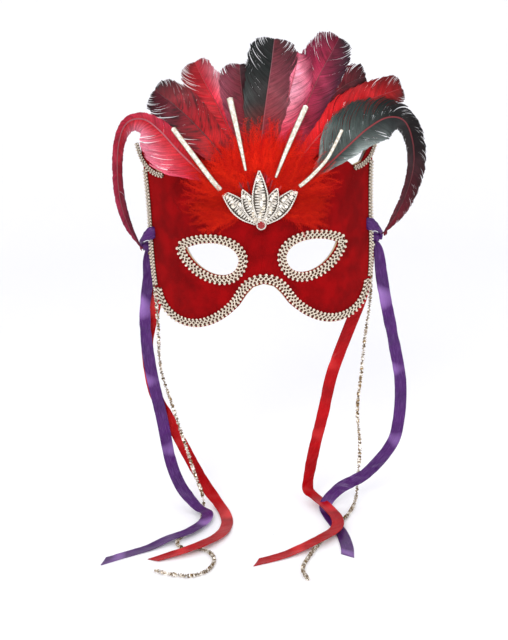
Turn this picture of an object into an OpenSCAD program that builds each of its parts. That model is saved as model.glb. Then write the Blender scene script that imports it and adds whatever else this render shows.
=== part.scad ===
// Venetian masquerade half mask: moulded shell, velvet skin, braid, brooch, plume and two sets of ties.
// Worn upright: the front faces -Y, +Z is up, and the origin is on the lining at the bridge of the nose.

/* [Mask body] */
// Width of the mask across its side edges
mask_w = 176; // [150:1:212]
// Angle that each side edge wraps round from the front, in degrees
wrap_angle = 57; // [45:1:60]
// How far each upper corner stands out past the side edge
corner_spread = 4; // [0:0.5:8]
// Height of the two upper corners above the bridge
corner_h = 92; // [75:1:115]
// Height of the dip between an upper corner and the crest
dip_h = 69; // [55:1:74]
// Height of the crest behind the plume
crest_h = 100; // [80:1:120]
// Depth of the cheeks below the bridge
cheek_d = 52; // [42:1:64]
// Depth of the top of the nose arch below the bridge
arch_d = 16; // [12:1:22]
// How far the nose ridge stands forward
nose_out = 6; // [3:0.5:9]

/* [Eye openings] */
// Distance between the middles of the two eye openings
eye_spacing = 76; // [66:1:92]
// Width of an eye opening
eye_w = 40; // [32:1:48]
// Height of an eye opening
eye_h = 24; // [18:1:29]

/* [Layers] */
// Thickness of the felt lining
lining_t = 0.8; // [0.5:0.1:1.5]
// Thickness of the moulded shell
shell_t = 1.6; // [1:0.1:2.5]
// Thickness of the velvet and its pile
velvet_t = 0.8; // [0.5:0.1:1.5]
// Glue line between two layers
glue_gap = 0.05; // [0.03:0.01:0.1]

/* [Braid] */
// Width of the wide braid round the eyes and along the lower edge
wide_braid_w = 7.4; // [5:0.2:9]
// Width of the narrow braid on the sides and upper corners
narrow_braid_w = 4; // [2.5:0.1:5]
// Thickness of the braid
braid_t = 1.6; // [1:0.1:2.2]
// How far stitched braid presses into the velvet pile
braid_sink = 0.2; // [0.1:0.05:0.3]

/* [Brooch and rays] */
// Height of the lotus brooch, from its foot to the tip of the centre leaf
brooch_h = 43; // [34:1:52]
// Width across the tips of the two outer leaves
brooch_w = 58; // [46:1:70]
// Height of the brooch's foot above the bridge
brooch_z = 28; // [26:1:32]
// Thickness of one leaf
leaf_t = 1.1; // [0.8:0.1:1.3]
// Diameter of the red stone
gem_d = 6; // [4:0.2:8]
// Width of a sequin ray
ray_w = 4; // [3:0.2:5]
// Thickness of a sequin ray
ray_t = 1; // [0.6:0.1:1.4]

/* [Plume] */
// Width of the felt patch under the quills
pad_w = 34; // [30:1:40]
// Thickness of the felt patch
pad_t = 1; // [0.6:0.1:1.5]
// Thickness of a quill
quill_t = 1.6; // [1:0.1:1.8]
// Depth of the marabou down
down_t = 2.5; // [1.5:0.1:4]

/* [Ties] */
// Width of a satin ribbon
ribbon_w = 10; // [8:0.5:12]
// Thickness of a satin ribbon
ribbon_t = 0.4; // [0.3:0.05:0.6]
// Diameter of a sequin string
string_d = 3.6; // [3:0.1:4]
// Radius of the rolled foot of the tie loop that the knot turns on
roll_r = 1.5; // [1:0.1:2]
// Radial clearance between the roll and the knot
knot_clearance = 0.05; // [0.03:0.01:0.08]
// Outer radius of the knot
knot_r = 4.2; // [3.6:0.1:5]
// Length of the knot along the roll
knot_len = 7; // [5:0.5:9]
// Radius of the gathered ribbon in the tie loop
loop_r = 1.1; // [0.8:0.1:1.3]
// Height of the tie slit's middle above the bridge
slit_z = 21; // [16:1:26]
// Length of the tie slit
slit_len = 9; // [7:0.5:12]
// Width of the tie slit
slit_w = 3.2; // [3:0.1:4]
// Distance of the slit from the side edge
slit_inset = 8; // [6:0.5:10]

/* [Hidden] */

velvet_red = "#a8040a";
braid_gold = "#d9cba6";
satin_purple = "#6d2f96";
satin_red = "#cc1220";

half_w = mask_w / 2;
wrap_r = half_w / sin(wrap_angle);
eye_x = eye_spacing / 2;
shell_off = lining_t + glue_gap;
velvet_off = shell_off + shell_t + glue_gap;
front_off = velvet_off + velvet_t;

// ---- The curved surface that every layer follows ----

// Smooth step from 0 to 1 as t goes from 0 to 1
function ease(t) = let(c = min(max(t, 0), 1)) c * c * (3 - 2 * c);
// Rounded hill of height 1 at (cx, cz) with half widths sx and sz
function hill(x, z, cx, cz, sx, sz) = exp(-pow((x - cx) / sx, 2) - pow((z - cz) / sz, 2));
// Wrap round the head, nose ridge, brows, cheeks and eye hollows
function relief(x, z) = let(a = abs(x))
    wrap_r - sqrt(wrap_r * wrap_r - a * a)
    + 0.0009 * pow(max(z - 20, 0), 2)
    - nose_out / (1 + exp((z + 2) / 9)) * exp(-pow(a / 15, 2))
    - 2.6 * hill(a, z, eye_x + 2, 29, 26, 12)
    - 3 * hill(a, z, eye_x + 9, -31, 24, 17)
    + 1.6 * hill(a, z, eye_x, 3, 22, 13);
relief_0 = relief(0, 0);
// Depth of the inside surface, zero at the bridge
function inside_y(x, z) = relief(x, z) - relief_0;
// Unit normal of the surface, pointing out of the mask's front
function outward(x, z) = let(
    d = 0.05,
    sx = (inside_y(x + d, z) - inside_y(x - d, z)) / (2 * d),
    sz = (inside_y(x, z + d) - inside_y(x, z - d)) / (2 * d),
    n = [sx, -1, sz]) n / norm(n);
// Point at the given distance out of the inside surface
function skin(p, off) = [p[0], inside_y(p[0], p[1]), p[1]] + off * outward(p[0], p[1]);

// ---- Outlines, seen from the front as [x, z] ----

function bezier(p, t) = pow(1 - t, 3) * p[0] + 3 * pow(1 - t, 2) * t * p[1]
    + 3 * (1 - t) * t * t * p[2] + pow(t, 3) * p[3];
// The curve cut into n steps, without its last point
function run(p, n) = [for (i = [0:n - 1]) bezier(p, i / n)];
function mirrored(pts) = [for (i = [len(pts) - 1:-1:0]) [-pts[i][0], pts[i][1]]];
function straight(a, b) = [a, a + (b - a) / 3, b - (b - a) / 3, b];

side_z = 18;
side_foot = [half_w - 2, -24];
corner = [half_w + corner_spread, corner_h];
dip = [half_w - 16, dip_h];
nose_side = [19, -33];
cheek_low = [half_w - 32, -cheek_d];
crest_curve = [[0, crest_h], [30, crest_h], [half_w - 33, dip_h + 15], dip];
corner_curve = [dip, dip + [9, 0], [half_w + 1, corner_h - 15], corner];
side_curve = [corner, [half_w, corner_h - 30], [half_w, side_z + 22], [half_w, side_z]];
side_low_curve = [[half_w, side_z], [half_w, side_z - 15], [half_w - 0.5, -12], side_foot];
cheek_curve = [side_foot, [half_w - 4, -40], [half_w - 15, -cheek_d], cheek_low];
nostril_curve = [cheek_low, cheek_low - [14, 0], nose_side + [9, -9], nose_side];
arch_curve = [nose_side, nose_side + [-6, 8], [9, -arch_d], [0, -arch_d]];

eye_inner = [eye_x - eye_w / 2 - 0.5, 3];
eye_tip = [eye_x + eye_w / 2, 11];
eye_top = eye_h * 0.75;
eye_upper = [eye_inner, eye_inner + [3, eye_top * 0.8], [eye_x + 4, eye_top * 1.13], eye_tip];
eye_lower = [eye_tip, eye_tip - [9, eye_h], eye_inner + [1, -eye_h * 0.82], eye_inner];

upper_steps = [8, 7, 3, 6];
lower_steps = [4, 4, 5, 3, 2];
upper_n = upper_steps * [1, 1, 1, 1];
lower_n = lower_steps * [1, 1, 1, 1, 1];
half_n = upper_n + lower_n;
rim = concat(
    run(straight([0, eye_inner[1]], [0, crest_h]), upper_steps[0]), run(crest_curve, upper_steps[1]),
    run(corner_curve, upper_steps[2]), run(side_curve, upper_steps[3]),
    run(side_low_curve, lower_steps[0]), run(cheek_curve, lower_steps[1]),
    run(nostril_curve, lower_steps[2]), run(arch_curve, lower_steps[3]),
    run(straight([0, -arch_d], [0, eye_inner[1]]), lower_steps[4]));
eye = concat(run(eye_upper, upper_n), run(eye_lower, lower_n));

// ---- A layer of the mask: both halves share the points on the centre line ----

ring_n = 7;
layer_n = 2 * half_n * ring_n;
function on_centre(r, k) = r == ring_n - 1 && (k <= upper_steps[0] || k >= half_n - lower_steps[4]);
function spot(side, r, k) = let(kk = k % half_n)
    (on_centre(r, kk) ? 0 : side * half_n * ring_n) + r * half_n + kk;
function layer_points(off) = [for (side = [1, -1]) for (r = [0:ring_n - 1]) for (k = [0:half_n - 1])
    let(p = eye[k] + (rim[k] - eye[k]) * r / (ring_n - 1)) skin([side * p[0], p[1]], off)];
// Two triangles, turned over when flip is true
function quad(a, b, c, d, flip) = flip ? [[a, c, b], [a, d, c]] : [[a, b, c], [a, c, d]];
function layer_faces() = [for (side = [0, 1]) for (k = [0:half_n - 1]) each concat(
    [for (r = [0:ring_n - 2]) for (back = [0, 1]) let(o = back * layer_n)
        each quad(o + spot(side, r, k), o + spot(side, r + 1, k), o + spot(side, r + 1, k + 1),
            o + spot(side, r, k + 1), side == back)],
    [for (r = [0, ring_n - 1]) if (r == 0 || !on_centre(r, k) || !on_centre(r, (k + 1) % half_n))
        each quad(spot(side, r, k), spot(side, r, k + 1), layer_n + spot(side, r, k + 1),
            layer_n + spot(side, r, k), (side == 1) == (r == 0))])];
module mask_layer(inner, outer)
    polyhedron(concat(layer_points(outer), layer_points(inner)), layer_faces(), convexity = 10);

// ---- Swept solids: each ring runs anticlockwise about the way the sweep goes ----

function ring_faces(count, sides, closed) = concat(
    [for (i = [0:count - (closed ? 1 : 2)]) for (j = [0:sides - 1])
        let(i2 = (i + 1) % count, j2 = (j + 1) % sides)
        each quad(i * sides + j, i * sides + j2, i2 * sides + j2, i2 * sides + j, true)],
    closed ? [] : [[for (j = [0:sides - 1]) j], [for (j = [sides - 1:-1:0]) (count - 1) * sides + j]]);
module swept(rings, closed = false)
    polyhedron([for (r = rings) each r], ring_faces(len(rings), len(rings[0]), closed), convexity = 10);

// Offset direction of a flat outline at point i, mitred at corners
function aim(a, b) = (b - a) / norm(b - a);
function leftward(d) = [-d[1], d[0]];
function mitre(p, i, closed) = let(
    n = len(p),
    a = closed ? p[(i + n - 1) % n] : p[max(i - 1, 0)],
    c = closed ? p[(i + 1) % n] : p[min(i + 1, n - 1)],
    n2 = c == p[i] ? leftward(aim(a, p[i])) : leftward(aim(p[i], c)),
    n1 = a == p[i] ? n2 : leftward(aim(a, p[i]))) (n1 + n2) / (1 + n1 * n2);
function shifted(p, w, closed) = [for (i = [0:len(p) - 1]) p[i] + w * mitre(p, i, closed)];

// A band that lies on the skin between the outline on its left and the one on its right, slightly domed
module skin_band(left, right, off, t, closed = false) {
    swept([for (i = [0:len(left) - 1]) let(m = (left[i] + right[i]) / 2)
        [skin(right[i], off), skin(m, off), skin(left[i], off), skin(left[i], off + t * 0.7),
            skin(m, off + t), skin(right[i], off + t * 0.7)]], closed);
}

// Smooth curve through stations of any length, steps spans between two of them
function spline(a, b, c, d, t) = 0.5 * (2 * b + (c - a) * t + (2 * a - 5 * b + 4 * c - d) * t * t
    + (3 * b - a - 3 * c + d) * t * t * t);
function smooth(s, steps) = let(n = len(s)) concat(
    [for (i = [0:n - 2]) for (j = [0:steps - 1])
        spline(s[max(i - 1, 0)], s[i], s[i + 1], s[min(i + 2, n - 1)], j / steps)], [s[n - 1]]);
function xyz(s) = [s[0], s[1], s[2]];
function heading(pts, i) = aim(xyz(pts[max(i - 1, 0)]), xyz(pts[min(i + 1, len(pts) - 1)]));

// Thin blade along stations [x, y, z, left width, right width], thick at its middle line
module blade(stations, mid_t, edge_t, steps) {
    s = smooth(stations, steps);
    swept([for (i = [0:len(s) - 1]) let(
        d = heading(s, i),
        c = cross([0, -1, 0], d),
        across = c / norm(c),
        up = cross(d, across),
        p = xyz(s[i]),
        l = p + across * max(s[i][3], 0.8),
        r = p - across * max(s[i][4], 0.8))
        [l - up * edge_t / 2, l + up * edge_t / 2, p + up * mid_t / 2,
            r + up * edge_t / 2, r - up * edge_t / 2, p - up * mid_t / 2]]);
}

// Flat strip along stations [x, y, z, turn, width]: turn 0 shows its width to the front
module strip(stations, t, steps) {
    s = smooth(stations, steps);
    swept([for (i = [0:len(s) - 1]) let(
        d = heading(s, i),
        flat = [cos(s[i][3]), sin(s[i][3]), 0],
        c = flat - (flat * d) * d,
        across = c / norm(c) * s[i][4] / 2,
        up = cross(d, across) / norm(across) * t / 2,
        p = xyz(s[i]))
        [p - across - up, p + across - up, p + across + up, p - across + up]]);
}

// Round cord along its route; each ring's frame is carried on from the one before, so it never twists
function carried(a, d) = let(c = a - (a * d) * d) c / norm(c);
function cord_frames(s) = [for (i = 0, a = carried([0.3, 0.9, 0.2], heading(s, 0)); i < len(s);
    i = i + 1, a = carried(a, heading(s, min(i, len(s) - 1)))) a];
module cord(route, r, sides, steps) {
    s = smooth(route, steps);
    frames = cord_frames(s);
    swept([for (i = [0:len(s) - 1]) let(a = frames[i], b = cross(heading(s, i), a))
        [for (j = [0:sides - 1]) s[i] + r * (a * cos(360 * j / sides) + b * sin(360 * j / sides))]]);
}

// ---- Mask body ----

slit_turn = asin(half_w / wrap_r) - slit_inset / wrap_r * 180 / PI;
slit_x = wrap_r * sin(slit_turn);
slit_y = inside_y(slit_x, slit_z);
module tie_slits() {
    for (side = [-1, 1]) {
        translate([side * slit_x, slit_y, slit_z]) rotate([0, 0, side * slit_turn])
            cube([slit_w, 14, slit_len], center = true);
    }
}
module mask_shell() {
    color("#c9b48c") difference() {
        mask_layer(shell_off, shell_off + shell_t);
        tie_slits();
    }
}
module velvet_cover() {
    color(velvet_red) difference() {
        mask_layer(velvet_off, front_off);
        tie_slits();
    }
}
module face_lining() {
    color("#d8d2dd") difference() {
        mask_layer(0, lining_t);
        tie_slits();
    }
}

// ---- Braid ----

braid_off = front_off - braid_sink;
edge_lip = 0.3;
braid_butt = 0.96;
eye_path = concat(run(eye_upper, 18), run(eye_lower, 18));
// The side braid starts below the corner braid, further down under a taller corner
side_start = (corner_h - dip_h) / 92;
side_path = concat([for (i = [0:9]) bezier(side_curve, side_start + (1 - side_start) * i / 9)],
    [for (i = [1:5]) bezier(side_low_curve, i / 5 * braid_butt)]);
corner_path = [for (i = [0:6]) bezier(corner_curve, i / 6)];
half_lower = concat(run(cheek_curve, 8), run(nostril_curve, 8), run(arch_curve, 6));
lower_path = concat(half_lower, [[0, -arch_d]], mirrored(half_lower));
module eye_trim(side) {
    color(braid_gold) mirror([side < 0 ? 1 : 0, 0, 0])
        skin_band(shifted(eye_path, wide_braid_w, true), shifted(eye_path, edge_lip, true),
            braid_off, braid_t, true);
}
module edge_trim(path, w)
    skin_band(shifted(path, edge_lip, false), shifted(path, -w, false), braid_off, braid_t);
module lower_edge_trim() {
    color(braid_gold) edge_trim(lower_path, wide_braid_w);
}
module side_trim(side) {
    color(braid_gold) mirror([side < 0 ? 1 : 0, 0, 0]) edge_trim(side_path, narrow_braid_w);
}
module corner_trim(side) {
    color(braid_gold) mirror([side < 0 ? 1 : 0, 0, 0]) edge_trim(corner_path, narrow_braid_w);
}

// ---- Brooch: lifts are measured forward from the velvet under the plume ----

plume_z = brooch_z + 22;
plume_y = skin([0, plume_z], front_off)[1];
function lifted(s) = [for (p = s) [p[0], plume_y - p[1], p[2], p[3], p[4]]];
brooch_tip = brooch_z + brooch_h;
tip_x = brooch_w / 2;
tip_z = brooch_z + 29;
backing_gap = 0.3;
backing_t = 0.8;
module brooch_backing() {
    low = [[6 - tip_x, tip_z - 8], [-12, brooch_z - 3], [12, brooch_z - 3], [tip_x - 6, tip_z - 8]];
    high = [[8 - tip_x, tip_z - 6], [-12, brooch_z + 7], [12, brooch_z + 7], [tip_x - 8, tip_z - 6]];
    left = [for (i = [0:12]) bezier(high, i / 12)];
    right = [for (i = [0:12]) bezier(low, i / 12)];
    color(braid_gold) skin_band(left, right, front_off + backing_gap, backing_t);
}
// One pointed leaf from its foot to its tip, at its own lift
module leaf(foot, tip, foot_lift, tip_lift, w) {
    mid = (foot + tip) / 2;
    mid_lift = (foot_lift + tip_lift) / 2;
    color("#e6dcc0") blade(lifted([
        [foot[0], foot_lift, foot[1], 1.2, 1.2],
        [(foot[0] + mid[0]) / 2, (foot_lift + mid_lift) / 2, (foot[1] + mid[1]) / 2, w * 0.42, w * 0.42],
        [mid[0], mid_lift, mid[1], w / 2, w / 2],
        [(tip[0] + mid[0]) / 2, (tip_lift + mid_lift) / 2, (tip[1] + mid[1]) / 2, w * 0.3, w * 0.3],
        [tip[0], tip_lift, tip[1], 0.8, 0.8]]), leaf_t, leaf_t * 0.5, 3);
}
foot_lift = [2.6, 3.8, 5];
tip_lift = [6, 7.5, 10.5];
module outer_leaf(side)
    leaf([side * 4, brooch_z + 3], [side * tip_x, tip_z], foot_lift[0], tip_lift[0], 11);
module inner_leaf(side)
    leaf([side * 3, brooch_z + 5], [side * 13, tip_z], foot_lift[1], tip_lift[1], 10);
module centre_leaf()
    leaf([0, brooch_z + 4], [0, brooch_tip], foot_lift[2], tip_lift[2], 11);
gem_z = brooch_z + 2;
gem_lift = 6.4;
gem_t = 2.2;
module gem_setting() {
    color(braid_gold) translate([0, plume_y - gem_lift, gem_z]) rotate([90, 0, 0])
        cylinder(h = 0.8, r = gem_d / 2 + 0.8, center = true, $fn = 40);
}
module brooch_gem() {
    color("#d4061a") translate([0, plume_y - gem_lift - 0.4 - gem_t / 2, gem_z]) rotate([90, 0, 0])
        cylinder(h = gem_t, r1 = gem_d / 2, r2 = gem_d * 0.3, center = true, $fn = 24);
}

// ---- Rays: stations [x, lift, z, share of the full width] ----

module ray(stations) {
    color("#f2efe6") strip([for (s = stations) [s[0], plume_y - s[1], s[2], 0, ray_w * s[3]]], ray_t, 3);
}
ray_routes = [
    [[-tip_x - 0.5, 12, tip_z + 1.5, 1], [-36, 14.6, 67, 1], [-49, 14.6, 86, 1], [-62, 14.6, 105, 1]],
    [[-10, 14.4, 72, 0.5], [-13, 14.6, 90, 0.8], [-16, 14.6, 107, 1], [-19.5, 14.6, 125, 1.2]],
    [[12, 14.4, 66, 0.5], [19, 14.6, 82, 0.8], [27, 14.6, 99, 1], [36, 14.6, 117, 1.1]],
    [[tip_x + 0.5, 12, tip_z + 1.5, 0.8], [38, 14.6, 65.5, 0.8], [51, 14.6, 79, 0.7], [62, 14.6, 99, 0.7]]];

// ---- Plume: stations [x, lift, z, left width, right width] from quill foot to tip ----

feather_routes = [
    [[-12, 1.9, 47, 0, 0], [-28, 4, 58, 0, 0], [-45, 7, 73, 8, 5], [-60, 9, 89, 21, 9], [-72, 7, 103, 20, 8],
        [-84, 3, 112, 12, 5], [-97, -4, 110, 8, 4], [-105, -12, 97, 5, 4], [-109, -19, 75, 4, 4],
        [-109, -24, 50, 4, 4], [-104, -27, 28, 3, 3], [-95, -29, 10, 0, 0]],
    [[-9, 1.9, 48, 0, 0], [-18, 5.5, 68, 4, 4], [-32, 6.5, 90, 12, 11], [-48, 6.5, 109, 17, 15],
        [-60, 5, 121, 18, 16], [-70, 2, 129, 15, 13], [-75, 0, 133, 9, 8]],
    [[-6.6, 1.9, 49, 0, 0], [-11, 4, 72, 5, 5], [-19, 5, 96, 11, 11], [-28, 5, 118, 14, 14],
        [-37, 3.5, 136, 17, 13], [-42, 1, 147, 13, 9], [-44, 0, 152, 7, 4]],
    [[-4.3, 1.9, 49.5, 0, 0], [-5, 3, 74, 5, 5], [-10, 3.5, 98, 10, 10], [-17, 3, 120, 14, 13],
        [-22, 2, 134, 12, 11], [-25, 1, 141, 5, 5]],
    [[-2, 2.8, 50, 0, 0], [-3, 5.2, 76, 5, 5], [-7, 6.5, 102, 12, 10], [-10, 6.5, 126, 16, 12],
        [-11, 5.5, 142, 15, 11], [-11, 4.5, 149, 9, 5]],
    [[0.3, 3.8, 50, 0, 0], [1, 7.6, 76, 6, 6], [4, 9.2, 102, 13, 13], [8, 9.5, 126, 17, 17],
        [12, 8.5, 147, 18, 18], [14, 7, 160, 17, 17], [15, 6, 166, 13, 12]],
    [[2.6, 2.8, 50, 0, 0], [7, 5.8, 74, 5, 5], [14, 8, 98, 11, 10], [22, 8, 120, 14, 13],
        [28, 7.8, 138, 15, 14], [31, 6.6, 149, 12, 11], [33, 5, 155, 5, 5]],
    [[4.9, 1.9, 50, 0, 0], [14, 4.4, 74, 5, 5], [27, 6.2, 98, 11, 10], [38, 5.8, 120, 15, 14],
        [48, 4.4, 140, 18, 16], [56, 2.2, 153, 18, 15], [60, 1, 160, 15, 12], [63, -1, 165, 9, 6]],
    [[7.2, 1.9, 49.5, 0, 0], [19, 2.8, 74, 4, 4], [34, 3.3, 98, 9, 8], [48, 3, 116, 12, 10],
        [62, 2, 128, 14, 10], [74, 0, 134, 12, 8], [82, -2, 136, 6, 4]],
    [[9.6, 1.9, 48.5, 0, 0], [25, 4.3, 71, 4, 4], [44, 5, 93, 10, 10], [63, 5, 109, 13, 12],
        [83, 3, 119, 13, 12], [99, 0, 124, 12, 12], [106, -2, 126, 11, 11], [109, -3, 127, 8, 8]],
    [[12.4, 1.9, 47, 0, 0], [31, 4, 58, 0, 0], [50, 7, 72, 8, 4], [66, 9, 86, 22, 9],
        [82, 8, 99, 23, 13], [97, 4, 106, 15, 15], [110, -2, 103, 9, 9], [117, -8, 89, 9, 6],
        [119, -13, 70, 9, 5], [115, -17, 50, 8, 4], [107, -20, 32, 6, 3], [96, -23, 15, 0, 0]]];
feather_colors = ["#c3243c", "#6e1420", "#d41a2c", "#a01818", "#7a3540", "#2c3430", "#d0506a",
    "#b02a4c", "#3a2428", "#e0141e", "#1e2624"];
module feather(i) {
    color(feather_colors[i]) blade(lifted(feather_routes[i]), quill_t, 0.4, 2);
}
module feather_pad() {
    low = [for (i = [-4:4]) [i * pad_w / 8, plume_z - 2.5]];
    high = [for (i = [-4:4]) [i * pad_w / 8, plume_z + 6]];
    color("#7c0f14") skin_band(high, low, front_off, pad_t);
}
// Down: a fan in front of the feathers that bends back to the velvet at its low ends
down_in = 40;
down_lift = 10.4;
down_z = 41;
function down_reach(a) = 56 + 12 * pow(sin(a), 2);
function down_y(x, z, extra) = let(s = ease((z - 44) / 14))
    (1 - s) * (skin([x, z], front_off)[1] - 0.6) + s * (plume_y - down_lift) - extra;
module marabou_puff() {
    fan = [for (a = [6:12:174]) [for (q = [0, 0.35, 0.7, 1])
        let(r = down_in + q * (down_reach(a) - down_in)) [r * cos(a), down_z + r * sin(a)]]];
    color("#cf1216") swept([for (f = fan) concat(
        [for (j = [0:3]) [f[j][0], down_y(f[j][0], f[j][1], j == 0 || j == 3 ? 0.8 : down_t), f[j][1]]],
        [for (j = [3:-1:0]) [f[j][0], down_y(f[j][0], f[j][1], 0), f[j][1]]])]);
}

// ---- Ties: everything is placed from the middle of the roll ----

edge_y = inside_y(half_w, slit_z);
roll = [half_w + 5.5, edge_y + 6, slit_z - 13];
collar_t = 2.4;
collar_r = roll_r + 1;
collar_gap = 0.15;
module tie_loop(side) {
    reach = knot_len / 2 + collar_gap;
    arm = reach + collar_t / 2;
    out = sin(slit_turn);
    fwd = cos(slit_turn);
    route = [
        roll + [arm, 0, 0],
        roll + [arm, -3, 3.4],
        [half_w + 8.5, edge_y - 3, slit_z - 6.5],
        [half_w + 4.2, edge_y - 7.7, slit_z - 2],
        [slit_x + 4.4 * out, slit_y - 4.4 * fwd, slit_z],
        [slit_x, slit_y, slit_z],
        [slit_x - 2.5 * out, slit_y + 3 * fwd, slit_z],
        [half_w - 4.5, edge_y + 2, slit_z - 3],
        roll + [-arm, -1, 7],
        roll + [-arm, 0, 3],
        roll + [-arm, 0, 0]];
    color(satin_purple) mirror([side < 0 ? 1 : 0, 0, 0]) union() {
        cord(route, loop_r, 8, 2);
        translate(roll) rotate([0, 90, 0])
            cylinder(h = 2 * reach + collar_t, r = roll_r, center = true, $fn = 48);
        for (end = [-1, 1]) {
            translate(roll + [end * arm, 0, 0]) rotate([0, 90, 0])
                cylinder(h = collar_t, r = collar_r, center = true, $fn = 48);
        }
    }
}
module knot(side) {
    color(satin_purple) mirror([side < 0 ? 1 : 0, 0, 0]) translate(roll) rotate([0, 90, 0]) difference() {
        cylinder(h = knot_len, r = knot_r, center = true, $fn = 48);
        cylinder(h = knot_len + 2, r = roll_r + knot_clearance, center = true, $fn = 48);
    }
}

// Routes from the middle of the roll: [x, y, z, turn, width], laid on the table 234 mm below it
purple_left = [[0, 0, -3.4, 0, 4], [-1, 0, -12, 0, 7], [-1, 0, -26, 8, 9], [-5, 0, -50, -12, 9],
    [-6, 0, -74, -14, 10], [-3.5, 0, -108, 8, 10], [3, 0, -149, 4, 10], [8, 0, -187, 0, 10],
    [16, -2, -211, 15, 10], [29, -6, -228, 40, 10], [38, -17, -229.8, 12, 10], [36, -34, -230, -23, 10],
    [24, -52, -230, -45, 10], [9, -63.5, -229.8, -56, 10], [-6, -73, -232.8, -58, 10],
    [-21, -81, -233.6, -60, 10], [-41, -93, -233.6, -60, 10]];
red_left = [[1, 2.6, -3.2, 0, 4], [3, 3, -12, 0, 8], [4, 3.4, -44, 4, 10], [-3, 3.6, -70, 10, 10],
    [-6, 3.8, -88, 8, 10], [-3, 3.6, -123, -6, 10], [6, 3.6, -145, -4, 10], [16, 4, -168, 0, 10],
    [27, 6, -194, 0, 10], [37, 9, -216, 10, 10], [46, 7, -230, 30, 10], [53, -12, -233, 16, 10],
    [55, -34, -233.6, -4, 10], [49, -60, -231, -28, 10], [29, -83, -229.8, -57, 10],
    [-2, -95, -233.4, -70, 8]];
string_left = [[1, -2.7, -3.4], [3, -3, -14], [5, -3.4, -60], [5, -3.6, -103], [14, -3.6, -141],
    [23, -3.4, -177], [29, -1, -203], [33.5, 5, -222], [34, -5, -232], [31, -34, -232.2],
    [16, -62, -232.2], [20, -77, -232.2], [38, -83, -232.2], [46, -98, -232.2], [43, -116, -232.2],
    [31, -126, -232.2], [14, -122, -232.2], [1, -114, -232.2]];
purple_right = [[0, 0, -3.4, 0, 4], [3, 0, -12, 0, 8], [5, 0, -31, 4, 10], [8, 0, -52, 8, 10],
    [14, 0, -86, 12, 10], [20, 0, -125, 0, 10], [18, 0, -160, -10, 10], [11, 0, -182, -12, 10],
    [-10, 0, -206, -6, 10], [-34, -1, -219, 0, 10], [-47, -8, -230.6, 15, 10],
    [-45, -28, -233.4, 12, 10], [-38, -58, -233.7, 10, 10], [-36, -84, -233.7, 0, 10],
    [-37, -101, -233.7, -3, 10]];
red_right = [[-1, 2.6, -3.2, 0, 4], [-4, 3, -12, 0, 8], [-7, 3.4, -31, 0, 10], [-12, 3.4, -52, -6, 10],
    [-21, 3.4, -74, -10, 10], [-32, 3.4, -101, -8, 10], [-39, 3.4, -121, -4, 10], [-46, 4, -151, 4, 10],
    [-53, 6, -178, 8, 10], [-59, 8, -206, 10, 10], [-61, 9, -222, 20, 10], [-55, 3, -227.6, 29, 10],
    [-47, -14, -228.6, 14, 10], [-40, -40, -228.8, 5, 10], [-43, -62, -228.8, -27, 10],
    [-61, -82, -229.2, -50, 10], [-84, -96, -232.6, -63, 10], [-108, -106, -233.6, -66, 10]];
string_right = [[-1, -2.7, -3.4], [-3, -3, -14], [-5, -3.4, -51], [-10, -3.6, -85], [-13, -3, -112],
    [-17, 0, -148], [-15, 4, -181], [-17, 4, -208], [-20, -3, -227], [-27, -22, -231.4],
    [-40, -50, -231], [-56, -78, -231.8], [-67, -102, -232.2], [-73, -122, -232.2], [-70, -140, -232.2]];
left_roll = [-roll[0], roll[1], roll[2]];
module ribbon(route, place, shade) {
    stations = [for (s = route) [s[0], s[1], s[2], s[3], s[4] * ribbon_w / 10]];
    color(shade) translate(place) strip(stations, ribbon_t, 3);
}
module string(route, place) {
    color("#e8dfc8") translate(place) cord(route, string_d / 2, 8, 3);
}

mask_shell();
velvet_cover();
face_lining();
eye_trim(-1);  // eye_trim_left
eye_trim(1);  // eye_trim_right
lower_edge_trim();
side_trim(-1);  // side_trim_left
side_trim(1);  // side_trim_right
corner_trim(-1);  // corner_trim_left
corner_trim(1);  // corner_trim_right
brooch_backing();
centre_leaf();  // brooch_leaf_centre
inner_leaf(-1);  // brooch_leaf_inner_left
inner_leaf(1);  // brooch_leaf_inner_right
outer_leaf(-1);  // brooch_leaf_outer_left
outer_leaf(1);  // brooch_leaf_outer_right
gem_setting();
brooch_gem();
ray(ray_routes[0]);  // ray_outer_left
ray(ray_routes[1]);  // ray_inner_left
ray(ray_routes[2]);  // ray_inner_right
ray(ray_routes[3]);  // ray_outer_right
feather_pad();
feather(0);  // feather_01
feather(1);  // feather_02
feather(2);  // feather_03
feather(3);  // feather_04
feather(4);  // feather_05
feather(5);  // feather_06
feather(6);  // feather_07
feather(7);  // feather_08
feather(8);  // feather_09
feather(9);  // feather_10
feather(10);  // feather_11
marabou_puff();
tie_loop(-1);  // tie_loop_left
tie_loop(1);  // tie_loop_right
knot(-1);  // knot_left
knot(1);  // knot_right
ribbon(purple_left, left_roll, satin_purple);  // purple_ribbon_left
ribbon(purple_right, roll, satin_purple);  // purple_ribbon_right
ribbon(red_left, left_roll, satin_red);  // red_ribbon_left
ribbon(red_right, roll, satin_red);  // red_ribbon_right
string(string_left, left_roll);  // sequin_string_left
string(string_right, roll);  // sequin_string_right
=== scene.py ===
"""Venetian masquerade half mask: velvet shell, gimp braid, lotus brooch, sequin rays, feather plume and ties.

The mask is worn upright. Its front faces -Y, +Z is up, and the origin is on the lining at the bridge of the
nose. Sizes in the classes are millimetres, and every finished piece is in metres.
"""
import logging
from dataclasses import dataclass, field
from enum import Enum
from typing import Any, Sequence

import bpy
import numpy as np
from mathutils import Matrix, Vector


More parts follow.
